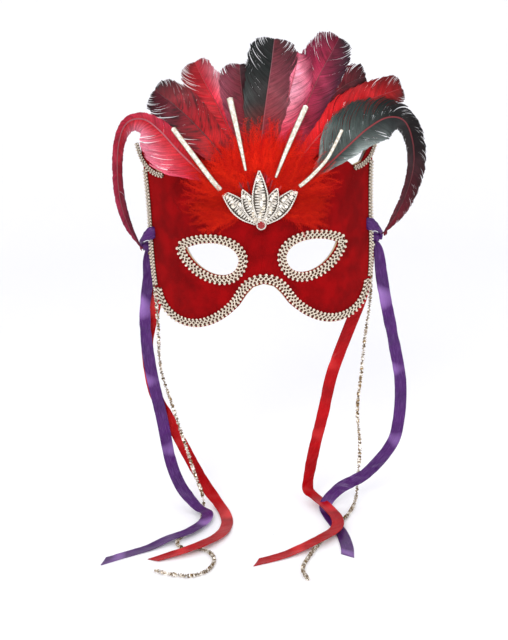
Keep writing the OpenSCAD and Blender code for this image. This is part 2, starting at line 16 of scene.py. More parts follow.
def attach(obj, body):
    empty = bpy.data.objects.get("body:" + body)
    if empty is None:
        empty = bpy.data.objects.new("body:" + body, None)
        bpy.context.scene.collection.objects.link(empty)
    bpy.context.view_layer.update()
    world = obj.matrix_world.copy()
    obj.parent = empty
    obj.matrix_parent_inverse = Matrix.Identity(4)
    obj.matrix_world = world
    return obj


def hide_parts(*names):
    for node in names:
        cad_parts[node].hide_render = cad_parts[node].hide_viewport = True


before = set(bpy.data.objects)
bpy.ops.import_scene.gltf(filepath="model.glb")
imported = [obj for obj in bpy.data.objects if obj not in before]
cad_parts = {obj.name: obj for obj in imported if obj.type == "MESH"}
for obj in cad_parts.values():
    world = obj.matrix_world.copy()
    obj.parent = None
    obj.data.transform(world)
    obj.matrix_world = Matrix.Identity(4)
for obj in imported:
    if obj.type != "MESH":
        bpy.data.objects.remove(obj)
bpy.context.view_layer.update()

MM = 0.001
TABLE_Z = -226.0
MIRROR = np.array([-1.0, 1.0])
TO_FRONT = np.array([0.0, -1.0, 0.0])
Array = np.ndarray
log = logging.getLogger("mask")


class Body(Enum):
    """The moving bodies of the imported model."""

    MASK = "mask"
    LEFT = "left_ties"
    RIGHT = "right_ties"


class Side(Enum):
    """The two sides of the mask, as the viewer sees them."""

    LEFT = -1
    RIGHT = 1

    @property
    def word(self) -> str:
        """The side's name in lower case."""
        return self.name.lower()

    @property
    def ties(self) -> Body:
        """The body of this side's ties."""
        return Body.LEFT if self is Side.LEFT else Body.RIGHT


# ---- Vectors, paths and curves ----


def unit(v: Array) -> Array:
    """Vectors along the last axis, each at length 1."""
    return v / np.maximum(np.linalg.norm(v, axis=-1, keepdims=True), 1e-12)


def ease(t: Array) -> Array:
    """Smooth step from 0 to 1 as t goes from 0 to 1."""
    c = np.clip(t, 0.0, 1.0)
    return c * c * (3.0 - 2.0 * c)


def bezier(points: Sequence[Sequence[float]], t: Array) -> Array:
    """Points on one cubic curve.

    Args:
        points: four control points.
        t: places along it, from 0 to 1.

    Returns:
        The sum of the control points, weighted by the cubic Bernstein polynomials of t.
    """
    p = np.asarray(points, float)
    t = np.asarray(t, float)[:, None]
    return (1 - t) ** 3 * p[0] + 3 * (1 - t) ** 2 * t * p[1] + 3 * (1 - t) * t * t * p[2] + t ** 3 * p[3]


def span(points: Sequence[Sequence[float]], n: int) -> Array:
    """The curve cut into n steps, without its last point."""
    return bezier(points, np.arange(n) / n)


def straight(a: Sequence[float], b: Sequence[float]) -> list[Array]:
    """A straight run from a to b as a cubic curve."""
    a, b = np.asarray(a, float), np.asarray(b, float)
    return [a, a + (b - a) / 3, b - (b - a) / 3, b]


def smooth(stations: Sequence[Sequence[float]], steps: int) -> Array:
    """A smooth path through stations of any width.

    Args:
        stations: rows of numbers, the first three a point.
        steps: spans between two stations.

    Returns:
        The Catmull-Rom cubic through every station, in equal steps between each two.
    """
    s = np.asarray(stations, float)
    padded = np.concatenate([s[:1], s, s[-1:]])
    a, b, c, d = (padded[k:len(s) - 1 + k, None, :] for k in range(4))
    t = (np.arange(steps) / steps)[None, :, None]
    square, cube = 2 * a - 5 * b + 4 * c - d, 3 * b - a - 3 * c + d
    curve = 0.5 * (2 * b + (c - a) * t + square * t ** 2 + cube * t ** 3)
    return np.concatenate([curve.reshape(-1, s.shape[1]), s[-1:]])


def arc_length(path: Array) -> Array:
    """Distance along a path at each of its points."""
    steps = np.linalg.norm(np.diff(path[:, :3], axis=0), axis=1)
    return np.concatenate([[0.0], np.cumsum(steps)])


def at(path: Array, known: Array, wanted: Array) -> Array:
    """Each column of path, read at the wanted places by straight lines between the known ones."""
    columns = [np.interp(wanted, known, path[:, k]) for k in range(path.shape[1])]
    return np.stack(columns, axis=-1)


def evenly(path: Array, pitch: float) -> Array:
    """The path again, with its points about pitch apart."""
    known = arc_length(path)
    count = max(2, int(round(known[-1] / pitch)) + 1)
    return at(path, known, np.linspace(0.0, known[-1], count))


def heading(path: Array) -> Array:
    """Unit direction of travel at each point of a path."""
    return unit(np.gradient(path[:, :3], axis=0))


def carried(path: Array) -> tuple[Array, Array]:
    """Frames that never twist, for a round cord.

    Args:
        path: points of the cord.

    Returns:
        Two unit directions across the cord at each point, each carried on from the one before by taking
        away its part along the cord.
    """
    along = heading(path)
    side = np.empty_like(along)
    last = np.array([0.3, 0.9, 0.2])
    for k, d in enumerate(along):
        last = unit(last - (last @ d) * d)
        side[k] = last
    return side, np.cross(along, side)


def ripple(x: Array, seed: int, wave: float, octaves: int = 3) -> Array:
    """Smooth wandering values between about -1 and 1.

    Args:
        x: places in mm.
        seed: which wander to take.
        wave: its longest wave in mm.
        octaves: how many sine waves are added, each nearly half as long as the last.

    Returns:
        The sum of sines of x with random phases, over its largest possible value.
    """
    draw = np.random.default_rng(seed)
    phase = draw.uniform(0, 2 * np.pi, octaves)
    scale = 1.83 ** np.arange(octaves)
    waves = np.sin(np.asarray(x)[..., None] * 2 * np.pi * scale / wave + phase) / scale ** 0.6
    return waves.sum(-1) / (1 / scale ** 0.6).sum()


def linear(code: str) -> Array:
    """Turns an sRGB hex colour to linear RGB."""
    value = np.array([int(code[-6:][k:k + 2], 16) for k in (0, 2, 4)]) / 255
    return np.where(value <= 0.04045, value / 12.92, ((value + 0.055) / 1.055) ** 2.4)


def rgba(code: str) -> tuple[float, ...]:
    """A hex colour as the four numbers that a shader socket takes."""
    return (*linear(code).tolist(), 1.0)


# ---- Meshes ----


@dataclass
class Shape:
    """Points in mm, faces and painted values of one surface."""

    points: Array
    faces: list[Array]
    paint: dict[str, Array] = field(default_factory=dict)

    def turned_out(self) -> "Shape":
        """The same closed surface with its faces pointing outwards, told by the sign of its volume."""
        volume = 0.0
        for block in self.faces:
            a = self.points[block[:, 0]]
            for k in range(1, block.shape[1] - 1):
                b, c = self.points[block[:, k]], self.points[block[:, k + 1]]
                volume += float(np.einsum("ij,ij->i", a, np.cross(b, c)).sum())
        if volume < 0:
            self.faces = [block[:, ::-1] for block in self.faces]
        return self

    def welded(self) -> "Shape":
        """The same surface with points in one place merged into one."""
        _, first, where = np.unique(np.round(self.points, 5), axis=0, return_index=True, return_inverse=True)
        where = where.reshape(-1)
        paint = {key: value[first] for key, value in self.paint.items()}
        return Shape(self.points[first], [where[block] for block in self.faces], paint)


def laid(points: Array, along: float | Array = 0.0, across: float | Array = 0.0) -> dict[str, Array]:
    """The painted value "lay" for points: its first number along, its second across."""
    lay = np.zeros_like(points)
    lay[..., 0], lay[..., 1] = along, across
    return {"lay": lay}


def joined(parts: Sequence[Shape]) -> Shape:
    """Several surfaces as one, with the painted values that all of them have."""
    starts = np.cumsum([0] + [len(p.points) for p in parts])
    faces = [block + start for p, start in zip(parts, starts) for block in p.faces]
    keys = set.intersection(*(set(p.paint) for p in parts))
    paint = {key: np.concatenate([p.paint[key] for p in parts]) for key in sorted(keys)}
    return Shape(np.concatenate([p.points for p in parts]), faces, paint)


def ring_steps(count: int) -> tuple[Array, Array]:
    """The numbers of a ring's points, and of the point after each."""
    j = np.arange(count)
    return j, (j + 1) % count


def grid_faces(rows: int, columns: int, ring: bool = False, loop: bool = False) -> Array:
    """Four-sided faces of a grid of points.

    Args:
        rows: rows of points, the slow index.
        columns: points in a row.
        ring: whether each row closes on itself.
        loop: whether the last row joins the first.

    Returns:
        The four point numbers of each face, as an array.
    """
    r = np.arange(rows if loop else rows - 1)[:, None]
    c = np.arange(columns if ring else columns - 1)[None, :]
    r2, c2 = (r + 1) % rows, (c + 1) % columns
    corners = [r * columns + c, r * columns + c2, r2 * columns + c2, r2 * columns + c]
    return np.stack([np.broadcast_to(k, (r.size, c.size)) for k in corners], -1).reshape(-1, 4)


def swept(rings: Array, paint: dict[str, Array], loop: bool = False) -> Shape:
    """A closed skin through rings of points.

    Args:
        rings: rings x points x 3.
        paint: values for each ring point, rings x points x any.
        loop: whether the last ring joins the first. If not, each end is closed by a fan of triangles to the
            middle of its ring.

    Returns:
        The shape, with its faces pointing outwards.
    """
    count, sides, _ = rings.shape
    points = rings.reshape(-1, 3)
    faces = [grid_faces(count, sides, ring=True, loop=loop)]
    values = {k: v.reshape(count * sides, -1) for k, v in paint.items()}
    if not loop:
        j, j2 = ring_steps(sides)
        base, end = len(points), len(points) + 1
        points = np.concatenate([points, rings[0].mean(0)[None], rings[-1].mean(0)[None]])
        far = (count - 1) * sides
        faces.append(np.stack([j2, j, np.full(sides, base)], -1))
        faces.append(np.stack([far + j, far + j2, np.full(sides, end)], -1))
        values = {k: np.concatenate([v, v[:1], v[-1:]]) for k, v in values.items()}
    return Shape(points, faces, values).turned_out()


def tube(path: Array, radius: float | Array, sides: int = 8, loop: bool = False) -> Shape:
    """A round cord along a path.

    Args:
        path: its centre line.
        radius: one radius, or one for each point.
        sides: points round it.
        loop: whether it is an endless ring.

    Returns:
        Circles across the path, carried along it, painted with "lay": mm along, turns round, 0.
    """
    side, up = carried(path)
    turn = np.arange(sides) / sides
    angle = 2 * np.pi * turn
    r = np.broadcast_to(np.asarray(radius, float), (len(path),))[:, None, None]
    circle = np.cos(angle)[None, :, None] * side[:, None] + np.sin(angle)[None, :, None] * up[:, None]
    rings = path[:, None, :3] + r * circle
    return swept(rings, laid(rings, arc_length(path)[:, None], turn[None, :]), loop)


def copies(points: Array, faces: list[Array], centre: Array, axes: Array) -> Shape:
    """One small shape repeated at many places.

    Args:
        points: the small shape's points, p x 3.
        faces: its faces.
        centre: each copy's place, n x 3.
        axes: each copy's three axes as rows, n x 3 x 3.

    Returns:
        All copies as one shape.
    """
    n, p = len(centre), len(points)
    placed = centre[:, None, :] + np.einsum("pk,nkj->npj", points, axes)
    shift = (np.arange(n) * p)[:, None, None]
    blocks = [(block[None] + shift).reshape(-1, block.shape[1]) for block in faces]
    return Shape(placed.reshape(-1, 3), blocks)


def make_piece(name: str, shape: Shape, finish: "Finish", node: str = "", body: Body = Body.MASK,
               soft: bool = True) -> bpy.types.Object:
    """Puts a shape into a mesh object that rides on a body.

    Args:
        name: the piece's name.
        shape: its points in mm and faces.
        finish: what it is made of.
        node: the CAD node that it replaces, if any.
        body: the body that it moves with.
        soft: whether it is shaded smooth.

    Returns:
        The new object, at the origin.
    """
    mesh = bpy.data.meshes.new(name)
    mesh.vertices.add(len(shape.points))
    mesh.vertices.foreach_set("co", (shape.points * MM).astype(np.float32).ravel())
    sizes = np.concatenate([np.full(len(block), block.shape[1]) for block in shape.faces])
    corners = np.concatenate([block.ravel() for block in shape.faces]).astype(np.int32)
    mesh.loops.add(len(corners))
    mesh.loops.foreach_set("vertex_index", corners)
    mesh.polygons.add(len(sizes))
    mesh.polygons.foreach_set("loop_start", np.concatenate([[0], np.cumsum(sizes)[:-1]]).astype(np.int32))
    mesh.update(calc_edges=True)
    mesh.polygons.foreach_set("use_smooth", np.full(len(sizes), soft))
    for key, value in shape.paint.items():
        if key == "tint":
            value = np.concatenate([value, np.ones((len(value), 1))], axis=1)
        kind = "FLOAT_COLOR" if key == "tint" else "FLOAT_VECTOR"
        store = mesh.attributes.new(key, kind, "POINT")
        store.data.foreach_set("color" if key == "tint" else "vector", value.astype(np.float32).ravel())
    mesh.validate()
    mesh.materials.append(finish.material())
    piece = bpy.data.objects.new(name, mesh)
    bpy.context.scene.collection.objects.link(piece)
    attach(piece, body.value)
    if node:
        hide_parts(node)
    log.info("%s: %d points, %d faces", name, len(shape.points), len(sizes))
    return piece


# ---- Finishes ----


def add(tree: bpy.types.NodeTree, kind: str, inputs: dict[Any, Any] | None = None, **settings: Any) -> Any:
    """Adds one node to a material.

    Args:
        tree: the material's node tree.
        kind: the node's type.
        inputs: values or sockets for its inputs, by name or number.
        settings: the node's own settings.

    Returns:
        The node.
    """
    node = tree.nodes.new(kind)
    for key, value in settings.items():
        setattr(node, key, value)
    for key, value in (inputs or {}).items():
        if isinstance(value, bpy.types.NodeSocket):
            tree.links.new(value, node.inputs[key])
        else:
            node.inputs[key].default_value = value
    return node


@dataclass
class Pattern:
    """The nodes of one material, in its tree, which lead to its shader."""

    tree: bpy.types.NodeTree
    shader: bpy.types.Node

    def place(self) -> Any:
        """Object coordinates in mm."""
        where = add(self.tree, "ShaderNodeTexCoord").outputs["Object"]
        inputs = {"Vector": where, "Scale": (1 / MM,) * 3}
        return add(self.tree, "ShaderNodeMapping", inputs).outputs["Vector"]

    def painted(self, name: str, output: str) -> Any:
        """A value painted on the mesh."""
        return add(self.tree, "ShaderNodeAttribute", attribute_name=name).outputs[output]

    def sum(self, operation: str, *values: Any) -> Any:
        """One step of arithmetic on numbers or sockets."""
        return add(self.tree, "ShaderNodeMath", dict(enumerate(values)), operation=operation).outputs[0]

    def noise(self, where: Any, size: float, detail: float = 2.0, roughness: float = 0.5) -> Any:
        """Noise whose blobs are about size long in the units of where."""
        inputs = {"Vector": where, "Scale": 1 / size, "Detail": detail, "Roughness": roughness}
        return add(self.tree, "ShaderNodeTexNoise", inputs).outputs["Fac"]

    def between(self, value: Any, low: float, high: float, out_low: float, out_high: float) -> Any:
        """Value moved from low..high to out_low..out_high, and held inside it."""
        inputs = {"Value": value, "From Min": low, "From Max": high, "To Min": out_low, "To Max": out_high}
        return add(self.tree, "ShaderNodeMapRange", inputs).outputs["Result"]

    def blended(self, amount: Any, first: Any, second: Any) -> Any:
        """Two colours, hex codes or sockets, mixed by amount."""
        a, b = (rgba(c) if isinstance(c, str) else c for c in (first, second))
        return add(self.tree, "ShaderNodeMix", {0: amount, 6: a, 7: b}, data_type="RGBA").outputs[2]

    def colour(self, amount: Any, first: Any, second: Any) -> None:
        """Gives the shader two colours mixed by amount."""
        self.tree.links.new(self.blended(amount, first, second), self.shader.inputs["Base Color"])

    def bump(self, height: Any, depth_mm: float, strength: float) -> None:
        """Turns a height pattern into bump of a real depth in mm."""
        inputs = {"Height": height, "Distance": depth_mm * MM, "Strength": strength}
        node = add(self.tree, "ShaderNodeBump", inputs)
        self.tree.links.new(node.outputs["Normal"], self.shader.inputs["Normal"])


@dataclass(frozen=True)
class Finish:
    """What a piece is made of: a Principled shader, with patterns that each kind of finish adds."""

    title: str
    slot: str
    colour: str
    roughness: float = 0.5
    metallic: float = 0.0
    ior: float = 1.5
    sheen: float = 0.0
    sheen_tint: str = "#ffffff"
    sheen_roughness: float = 0.5
    coat: float = 0.0
    specular: float = 0.5
    anisotropic: float = 0.0

    def material(self) -> bpy.types.Material:
        """The finish's material, made the first time that it is asked for."""
        found = bpy.data.materials.get(self.title)
        if found:
            return found
        made = bpy.data.materials.new(self.title)
        made.use_nodes = True
        tree = made.node_tree
        shader = tree.nodes["Principled BSDF"]
        values = {
            "Base Color": rgba(self.colour), "Roughness": self.roughness, "Metallic": self.metallic,
            "Sheen Weight": self.sheen, "Sheen Roughness": self.sheen_roughness,
            "Sheen Tint": rgba(self.sheen_tint), "Coat Weight": self.coat,
            "Specular IOR Level": self.specular, "Anisotropic": self.anisotropic,
        }
        if not self.metallic:
            values["IOR"] = self.ior
        for key, value in values.items():
            shader.inputs[key].default_value = value
        made.diffuse_color = rgba(self.colour)
        self.pattern(Pattern(tree, shader))
        return made

    def pattern(self, nodes: Pattern) -> None:
        """A plain finish has no pattern of its own."""


@dataclass(frozen=True)
class Velvet(Finish):
    """Cotton velvet, cut pile: painted shade in patches where the pile is crushed, and painted highlights on
    some pile tufts.
    """

    crushed_shade: str = "#6c0003"
    painted_highlight: str = "#a40405"

    def pattern(self, nodes: Pattern) -> None:
        """Pile tufts about 0.5 mm across with painted highlights, and brushed patches about 17 mm long where
        the pile leans, with painted shade between them where it is crushed.
        """
        where = nodes.place()
        patches = nodes.noise(where, 17.0, 3.0, 0.55)
        tufts = nodes.noise(where, 0.55, 3.0, 0.7)
        lean = nodes.between(patches, 0.36, 0.64, 0.0, 1.0)
        # Painted shade: the darker crushed red fills the patches where the pile does not lean.
        base = nodes.blended(lean, self.crushed_shade, self.colour)
        # Painted highlight: a lighter red on some of the pile tufts.
        nodes.colour(nodes.between(tufts, 0.5, 0.74, 0.0, 0.4), base, self.painted_highlight)
        nodes.bump(tufts, 0.35, 0.8)


@dataclass(frozen=True)
class Felt(Finish):
    """Pressed felt: matt, with short tangled fibres and a faintly cloudy colour."""

    shade: str = "#9c97a6"

    def pattern(self, nodes: Pattern) -> None:
        """Fibre tangle about 0.4 mm across over clouds about 12 mm across."""
        where = nodes.place()
        cloud = nodes.between(nodes.noise(where, 12.0, 4.0, 0.6), 0.35, 0.65, 0.0, 0.5)
        fibre = nodes.noise(where, 0.4, 4.0, 0.75)
        speck = nodes.between(fibre, 0.55, 0.75, 0.0, 0.6)
        nodes.colour(speck, nodes.blended(cloud, self.colour, self.shade), self.shade)
        nodes.bump(fibre, 0.25, 0.7)


@dataclass(frozen=True)
class Card(Finish):
    """Moulded paper card: layered pulp, matt, with a fine fibrous grain."""

    shade: str = "#9a845c"

    def pattern(self, nodes: Pattern) -> None:
        """Pulp flecks about 0.8 mm across."""
        flecks = nodes.noise(nodes.place(), 0.8, 5.0, 0.65)
        nodes.colour(nodes.between(flecks, 0.4, 0.7, 0.0, 0.7), self.colour, self.shade)
        nodes.bump(flecks, 0.15, 0.6)


@dataclass(frozen=True)
class WrappedThread(Finish):
    """Metal foil wound round a cotton core: bright ridges wound at a slant, with painted shade in the grooves
    between them.
    """

    dark: str = "#6d5b3a"
    pitch: float = 0.55
    plies: float = 1.0

    def pattern(self, nodes: Pattern) -> None:
        """Slanting ridges pitch mm apart, from the mm along and the turns round in "lay", painted shade in
        the grooves between them, and dull specks.
        """
        parts = add(nodes.tree, "ShaderNodeSeparateXYZ", {0: nodes.painted("lay", "Vector")})
        along = nodes.sum("MULTIPLY", parts.outputs["X"], 1 / self.pitch)
        slant = nodes.sum("MULTIPLY_ADD", parts.outputs["Y"], self.plies, along)
        wave = nodes.sum("SINE", nodes.sum("MULTIPLY", slant, 2 * np.pi))
        ridge = nodes.between(wave, -1.0, 1.0, 0.0, 1.0)
        specks = nodes.between(nodes.noise(nodes.place(), 1.1, 3.0, 0.6), 0.42, 0.62, 0.0, 0.5)
        # Painted shade: the grooves between the ridges turn to the dark colour.
        groove_shade = nodes.between(wave, -1.0, -0.2, 0.75, 0.0)
        nodes.colour(specks, nodes.blended(groove_shade, self.colour, self.dark), self.dark)
        nodes.bump(ridge, 0.09, 0.9)


@dataclass(frozen=True)
class Foil(Finish):
    """Vacuum-metallised film, as on sequins: a hard bright sheet, each piece a little apart in colour."""

    other: str = "#c9b27c"
    grain: float = 2.2

    def pattern(self, nodes: Pattern) -> None:
        """Tone that changes over about grain mm, so from one sequin to the next, and faint dents."""
        where = nodes.place()
        tone = nodes.between(nodes.noise(where, self.grain, 1.0, 0.5), 0.4, 0.6, 0.0, 1.0)
        nodes.colour(tone, self.colour, self.other)
        nodes.bump(nodes.noise(where, 0.9, 2.0, 0.5), 0.05, 0.5)


@dataclass(frozen=True)
class Painted(Finish):
    """Dyed feather: keratin barbs, with the dye painted on each barb."""

    streak: float = 0.35

    def pattern(self, nodes: Pattern) -> None:
        """The dye in "tint", with painted sheen in it on some feathers, darkened by streaks about 0.6 mm
        across.
        """
        tint = nodes.painted("tint", "Color")
        dark = nodes.between(nodes.noise(nodes.place(), 0.6, 2.0, 0.6), 0.3, 0.7, self.streak, 0.0)
        nodes.colour(dark, tint, (0.01, 0.002, 0.003, 1.0))


@dataclass(frozen=True)
class Satin(Finish):
    """Polyester satin ribbon: long floats with painted highlights across it, and patches of painted highlight
    where it is folded.
    """

    shade: str = "#5a2382"
    painted_highlight: str = "#b98fdc"

    def pattern(self, nodes: Pattern) -> None:
        """Floats 0.35 mm apart along the ribbon with painted highlights, slow changes of tone, and patches of
        painted highlight about 31 mm apart where it is folded.
        """
        lay = nodes.painted("lay", "Vector")
        stretched = add(nodes.tree, "ShaderNodeMapping", {"Vector": lay, "Scale": (0.035, 1.0, 1.0)})
        floats = nodes.noise(stretched.outputs["Vector"], 0.35, 2.0, 0.6)
        tone = nodes.between(nodes.noise(lay, 24.0, 2.0, 0.5), 0.38, 0.62, 0.0, 0.55)
        base = nodes.blended(tone, self.colour, self.shade)
        # Painted highlight: patches where the ribbon is folded turn to the lighter colour.
        fold_highlight = nodes.between(nodes.noise(lay, 31.0, 1.0, 0.4), 0.56, 0.7, 0.0, 0.6)
        fold_highlighted = nodes.blended(fold_highlight, base, self.painted_highlight)
        # Painted highlight on the floats.
        nodes.colour(nodes.between(floats, 0.5, 0.72, 0.0, 0.22), fold_highlighted, self.painted_highlight)
        nodes.bump(floats, 0.06, 0.6)


# Deep crimson with painted shade where the pile is crushed and painted highlights on its tufts, with no hard
# shine.
VELVET = Velvet("Red cotton velvet", "velvet", "#8e0105", roughness=0.85, sheen=0.12, sheen_tint="#ff3020",
                sheen_roughness=0.3, specular=0.08)
# A pale, dull, cloudy inside that sets off the red.
LINING = Felt("Grey lavender felt", "lining_felt", "#d6d2de", roughness=0.95, sheen=0.2, specular=0.1)
# A dark matt patch that is lost among the feet of the feathers.
RED_FELT = Felt("Dark red felt", "red_felt", "#8a1016", roughness=0.95, specular=0.1, shade="#4c060a")
# A dull buff line where the shell shows at the eye openings.
CARD = Card("Moulded paper card", "card", "#c9b48c", roughness=0.85, specular=0.2)
# Pale knots that catch a soft metal light along every edge.
GIMP = WrappedThread("Champagne foil gimp cord", "gimp_braid", "#fff6e4", roughness=0.35, metallic=0.35,
                     dark="#a89078")
# Dark core threads between the loops as painted shadow, which makes them stand out.
GIMP_SHADOW_CORE = WrappedThread("Dark core thread in painted shadow", "gimp_braid", "#6e5a44", roughness=0.6, metallic=0.3,
                          dark="#241a12")
# Silver lines that draw each leaf.
LACE = WrappedThread("Silver gold embroidery cord", "applique_gold", "#fffbf2", roughness=0.32, metallic=0.45,
                     dark="#a09484", pitch=0.5)
# Painted shadow between the cords of a leaf: a dark tulle ground under them.
LACE_SHADOW_GROUND = Felt("Tulle ground in painted shadow", "applique_gold", "#5c5244", roughness=0.6, shade="#1c1610")
# Small white sparks inside a leaf.
LACE_FOIL = Foil("Champagne sequin film", "applique_gold", "#fffcf4", roughness=0.22, metallic=0.6,
                 other="#d8ccb4")
# A milky, nearly even white strip with a little gloss.
RAY_FOIL = Foil("Ivory pearl sequin film", "ray_sequin", "#f4f0e6", roughness=0.3, metallic=0.15, coat=0.3,
                other="#d4cab8")
# A thin grey outline on both sides of a ray.
RAY_CORD = WrappedThread("Silver edging cord", "ray_sequin", "#a89c88", roughness=0.35, metallic=0.6,
                         pitch=1.4, dark="#3c3024")
# A broken glitter of white and brown along the strings.
STRING_FOIL = Foil("Silver gold cup sequin film", "string_sequin", "#fffaf0", roughness=0.25, metallic=0.45,
                   other="#8a6c40", grain=2.6)
# A dull brown line between the cups.
STRING_THREAD = WrappedThread("Polyester thread", "string_sequin", "#6c5a40", roughness=0.6, dark="#2a2018")
# Streaky dye with a weak silky light, and painted sheen in the dye of some feathers.
FEATHER = Painted("Dyed rooster feather", "dyed_feather", "#c02030", roughness=0.5, specular=0.2)
# A fine lighter line with a harder shine down each feather.
QUILL = Painted("Dyed quill", "dyed_feather", "#a02030", roughness=0.35, streak=0.15, specular=0.5)
# A bright orange-red haze with no shine.
DOWN = Painted("Dyed marabou down", "marabou", "#e81a08", roughness=0.75, sheen=0.15, sheen_tint="#ff5030",
               streak=0.1, specular=0.1)
# Dark purple that turns lilac where it faces the light, with painted lilac highlights on its folds and
# floats.
PURPLE_SATIN = Satin("Purple satin ribbon", "purple_satin", "#46125e", roughness=0.3, specular=0.25,
                     anisotropic=0.6, shade="#2e0a46", painted_highlight="#a87cc8")
# Strong red with painted highlights on its folds.
RED_SATIN = Satin("Red satin ribbon", "red_satin", "#ac030c", roughness=0.32, specular=0.12, anisotropic=0.6,
                  shade="#740208", painted_highlight="#e03c3c")
# A small dark red glint at the foot of the brooch.
STONE = Finish("Red cut glass", "red_stone", "#8e0008", roughness=0.08, ior=1.56, coat=0.2, specular=0.5)


# ---- The curved face that every layer follows ----


@dataclass(frozen=True)
class Face:
    """The moulded form of the mask and its outlines, seen from the front as x and z."""

    width: float = 176.0
    wrap_angle: float = 57.0
    corner_spread: float = 4.0
    corner_h: float = 92.0
    dip_h: float = 69.0
    crest_h: float = 100.0
    cheek_d: float = 52.0
    arch_d: float = 16.0
    nose_out: float = 6.0
    eye_spacing: float = 76.0
    eye_w: float = 40.0
    eye_h: float = 24.0
    lining_t: float = 0.8
    shell_t: float = 1.6
    velvet_t: float = 0.8
    glue_gap: float = 0.05
    side_z: float = 18.0
    slit_z: float = 21.0
    slit_inset: float = 8.0
    slit_size: tuple[float, float, float] = (3.2, 14.0, 9.0)

    @property
    def half_w(self) -> float:
        """Half the mask's width."""
        return self.width / 2

    @property
    def wrap_r(self) -> float:
        """Radius of the wrap round the head."""
        return self.half_w / np.sin(np.radians(self.wrap_angle))

    @property
    def eye_x(self) -> float:
        """Distance of an eye opening's middle from the centre line."""
        return self.eye_spacing / 2

    @property
    def velvet_in(self) -> float:
        """Distance of the velvet's glued side out of the inside surface."""
        return self.lining_t + self.shell_t + 2 * self.glue_gap

    @property
    def front(self) -> float:
        """Distance of the velvet's face out of the inside surface."""
        return self.velvet_in + self.velvet_t

    def relief(self, x: Array, z: Array) -> Array:
        """Depth of the form: a round wrap and backward lean of the brow, less the nose, brows and cheeks,
        plus the eye hollows, each a rounded hill exp(-(dx/sx)^2 - (dz/sz)^2)."""
        a = np.abs(x)

        def hill(cx: float, cz: float, sx: float, sz: float) -> Array:
            """One rounded hill of height 1."""
            return np.exp(-((a - cx) / sx) ** 2 - ((z - cz) / sz) ** 2)

        nose = self.nose_out / (1 + np.exp((z + 2) / 9)) * np.exp(-(a / 15) ** 2)
        return (self.wrap_r - np.sqrt(np.maximum(self.wrap_r ** 2 - a * a, 1.0))
                + 0.0009 * np.maximum(z - 20, 0) ** 2 - nose
                - 2.6 * hill(self.eye_x + 2, 29, 26, 12) - 3.0 * hill(self.eye_x + 9, -31, 24, 17)
                + 1.6 * hill(self.eye_x, 3, 22, 13))

    def inside_y(self, x: Array, z: Array) -> Array:
        """Depth of the inside surface, zero at the bridge."""
        return self.relief(x, z) - self.relief(np.array(0.0), np.array(0.0))

    def outward(self, x: Array, z: Array) -> Array:
        """Unit normal of the surface, from its slopes over 0.1 mm, pointing out of the front."""
        d = 0.05
        sx = (self.inside_y(x + d, z) - self.inside_y(x - d, z)) / (2 * d)
        sz = (self.inside_y(x, z + d) - self.inside_y(x, z - d)) / (2 * d)
        return unit(np.stack([sx, -np.ones_like(sx), sz], -1))

    def skin(self, flat: Array, off: float | Array) -> Array:
        """Points off mm out of the inside surface, above places given as x and z."""
        x, z = flat[..., 0], flat[..., 1]
        base = np.stack([x, self.inside_y(x, z), z], -1)
        return base + np.asarray(off, float)[..., None] * self.outward(x, z)

    def curves(self) -> dict[str, Any]:
        """The outline curves of the right half, by name."""
        w = self.half_w
        foot = (w - 2, -24)
        corner = (w + self.corner_spread, self.corner_h)
        dip = (w - 16, self.dip_h)
        nose = (19, -33)
        cheek = (w - 32, -self.cheek_d)
        inner = (self.eye_x - self.eye_w / 2 - 0.5, 3)
        tip = (self.eye_x + self.eye_w / 2, 11)
        top = self.eye_h * 0.75
        return {
            "crest": [(0, self.crest_h), (30, self.crest_h), (w - 33, self.dip_h + 15), dip],
            "corner": [dip, (dip[0] + 9, dip[1]), (w + 1, self.corner_h - 15), corner],
            "side": [corner, (w, self.corner_h - 30), (w, self.side_z + 22), (w, self.side_z)],
            "side_low": [(w, self.side_z), (w, self.side_z - 15), (w - 0.5, -12), foot],
            "cheek": [foot, (w - 4, -40), (w - 15, -self.cheek_d), cheek],
            "nostril": [cheek, (cheek[0] - 14, cheek[1]), (nose[0] + 9, nose[1] - 9), nose],
            "arch": [nose, (nose[0] - 6, nose[1] + 8), (9, -self.arch_d), (0, -self.arch_d)],
            "eye_upper": [inner, (inner[0] + 3, inner[1] + top * 0.8), (self.eye_x + 4, top * 1.13), tip],
            "eye_lower": [tip, (tip[0] - 9, tip[1] - self.eye_h),
                          (inner[0] + 1, inner[1] - self.eye_h * 0.82), inner],
            "brow_line": straight((0, inner[1]), (0, self.crest_h)),
            "nose_line": straight((0, -self.arch_d), (0, inner[1])),
        }

    def half_grid(self, fine: int, rings: int) -> Array:
        """A grid over the right half, from the eye's edge to the rim.

        Args:
            fine: samples for each step of the outline.
            rings: rings from the eye to the rim.

        Returns:
            rings x samples x 2, each ring a straight blend between the eye's outline and the rim's.
        """
        c = self.curves()
        upper = [("brow_line", 8), ("crest", 7), ("corner", 3), ("side", 6)]
        lower = [("side_low", 4), ("cheek", 4), ("nostril", 5), ("arch", 3), ("nose_line", 2)]
        rim = np.concatenate([span(c[name], n * fine) for name, n in upper + lower])
        counts = [sum(n for _, n in part) * fine for part in (upper, lower)]
        eye = np.concatenate([span(c["eye_upper"], counts[0]), span(c["eye_lower"], counts[1])])
        r = np.linspace(0, 1, rings)[:, None, None]
        return eye[None] * (1 - r) + rim[None] * r

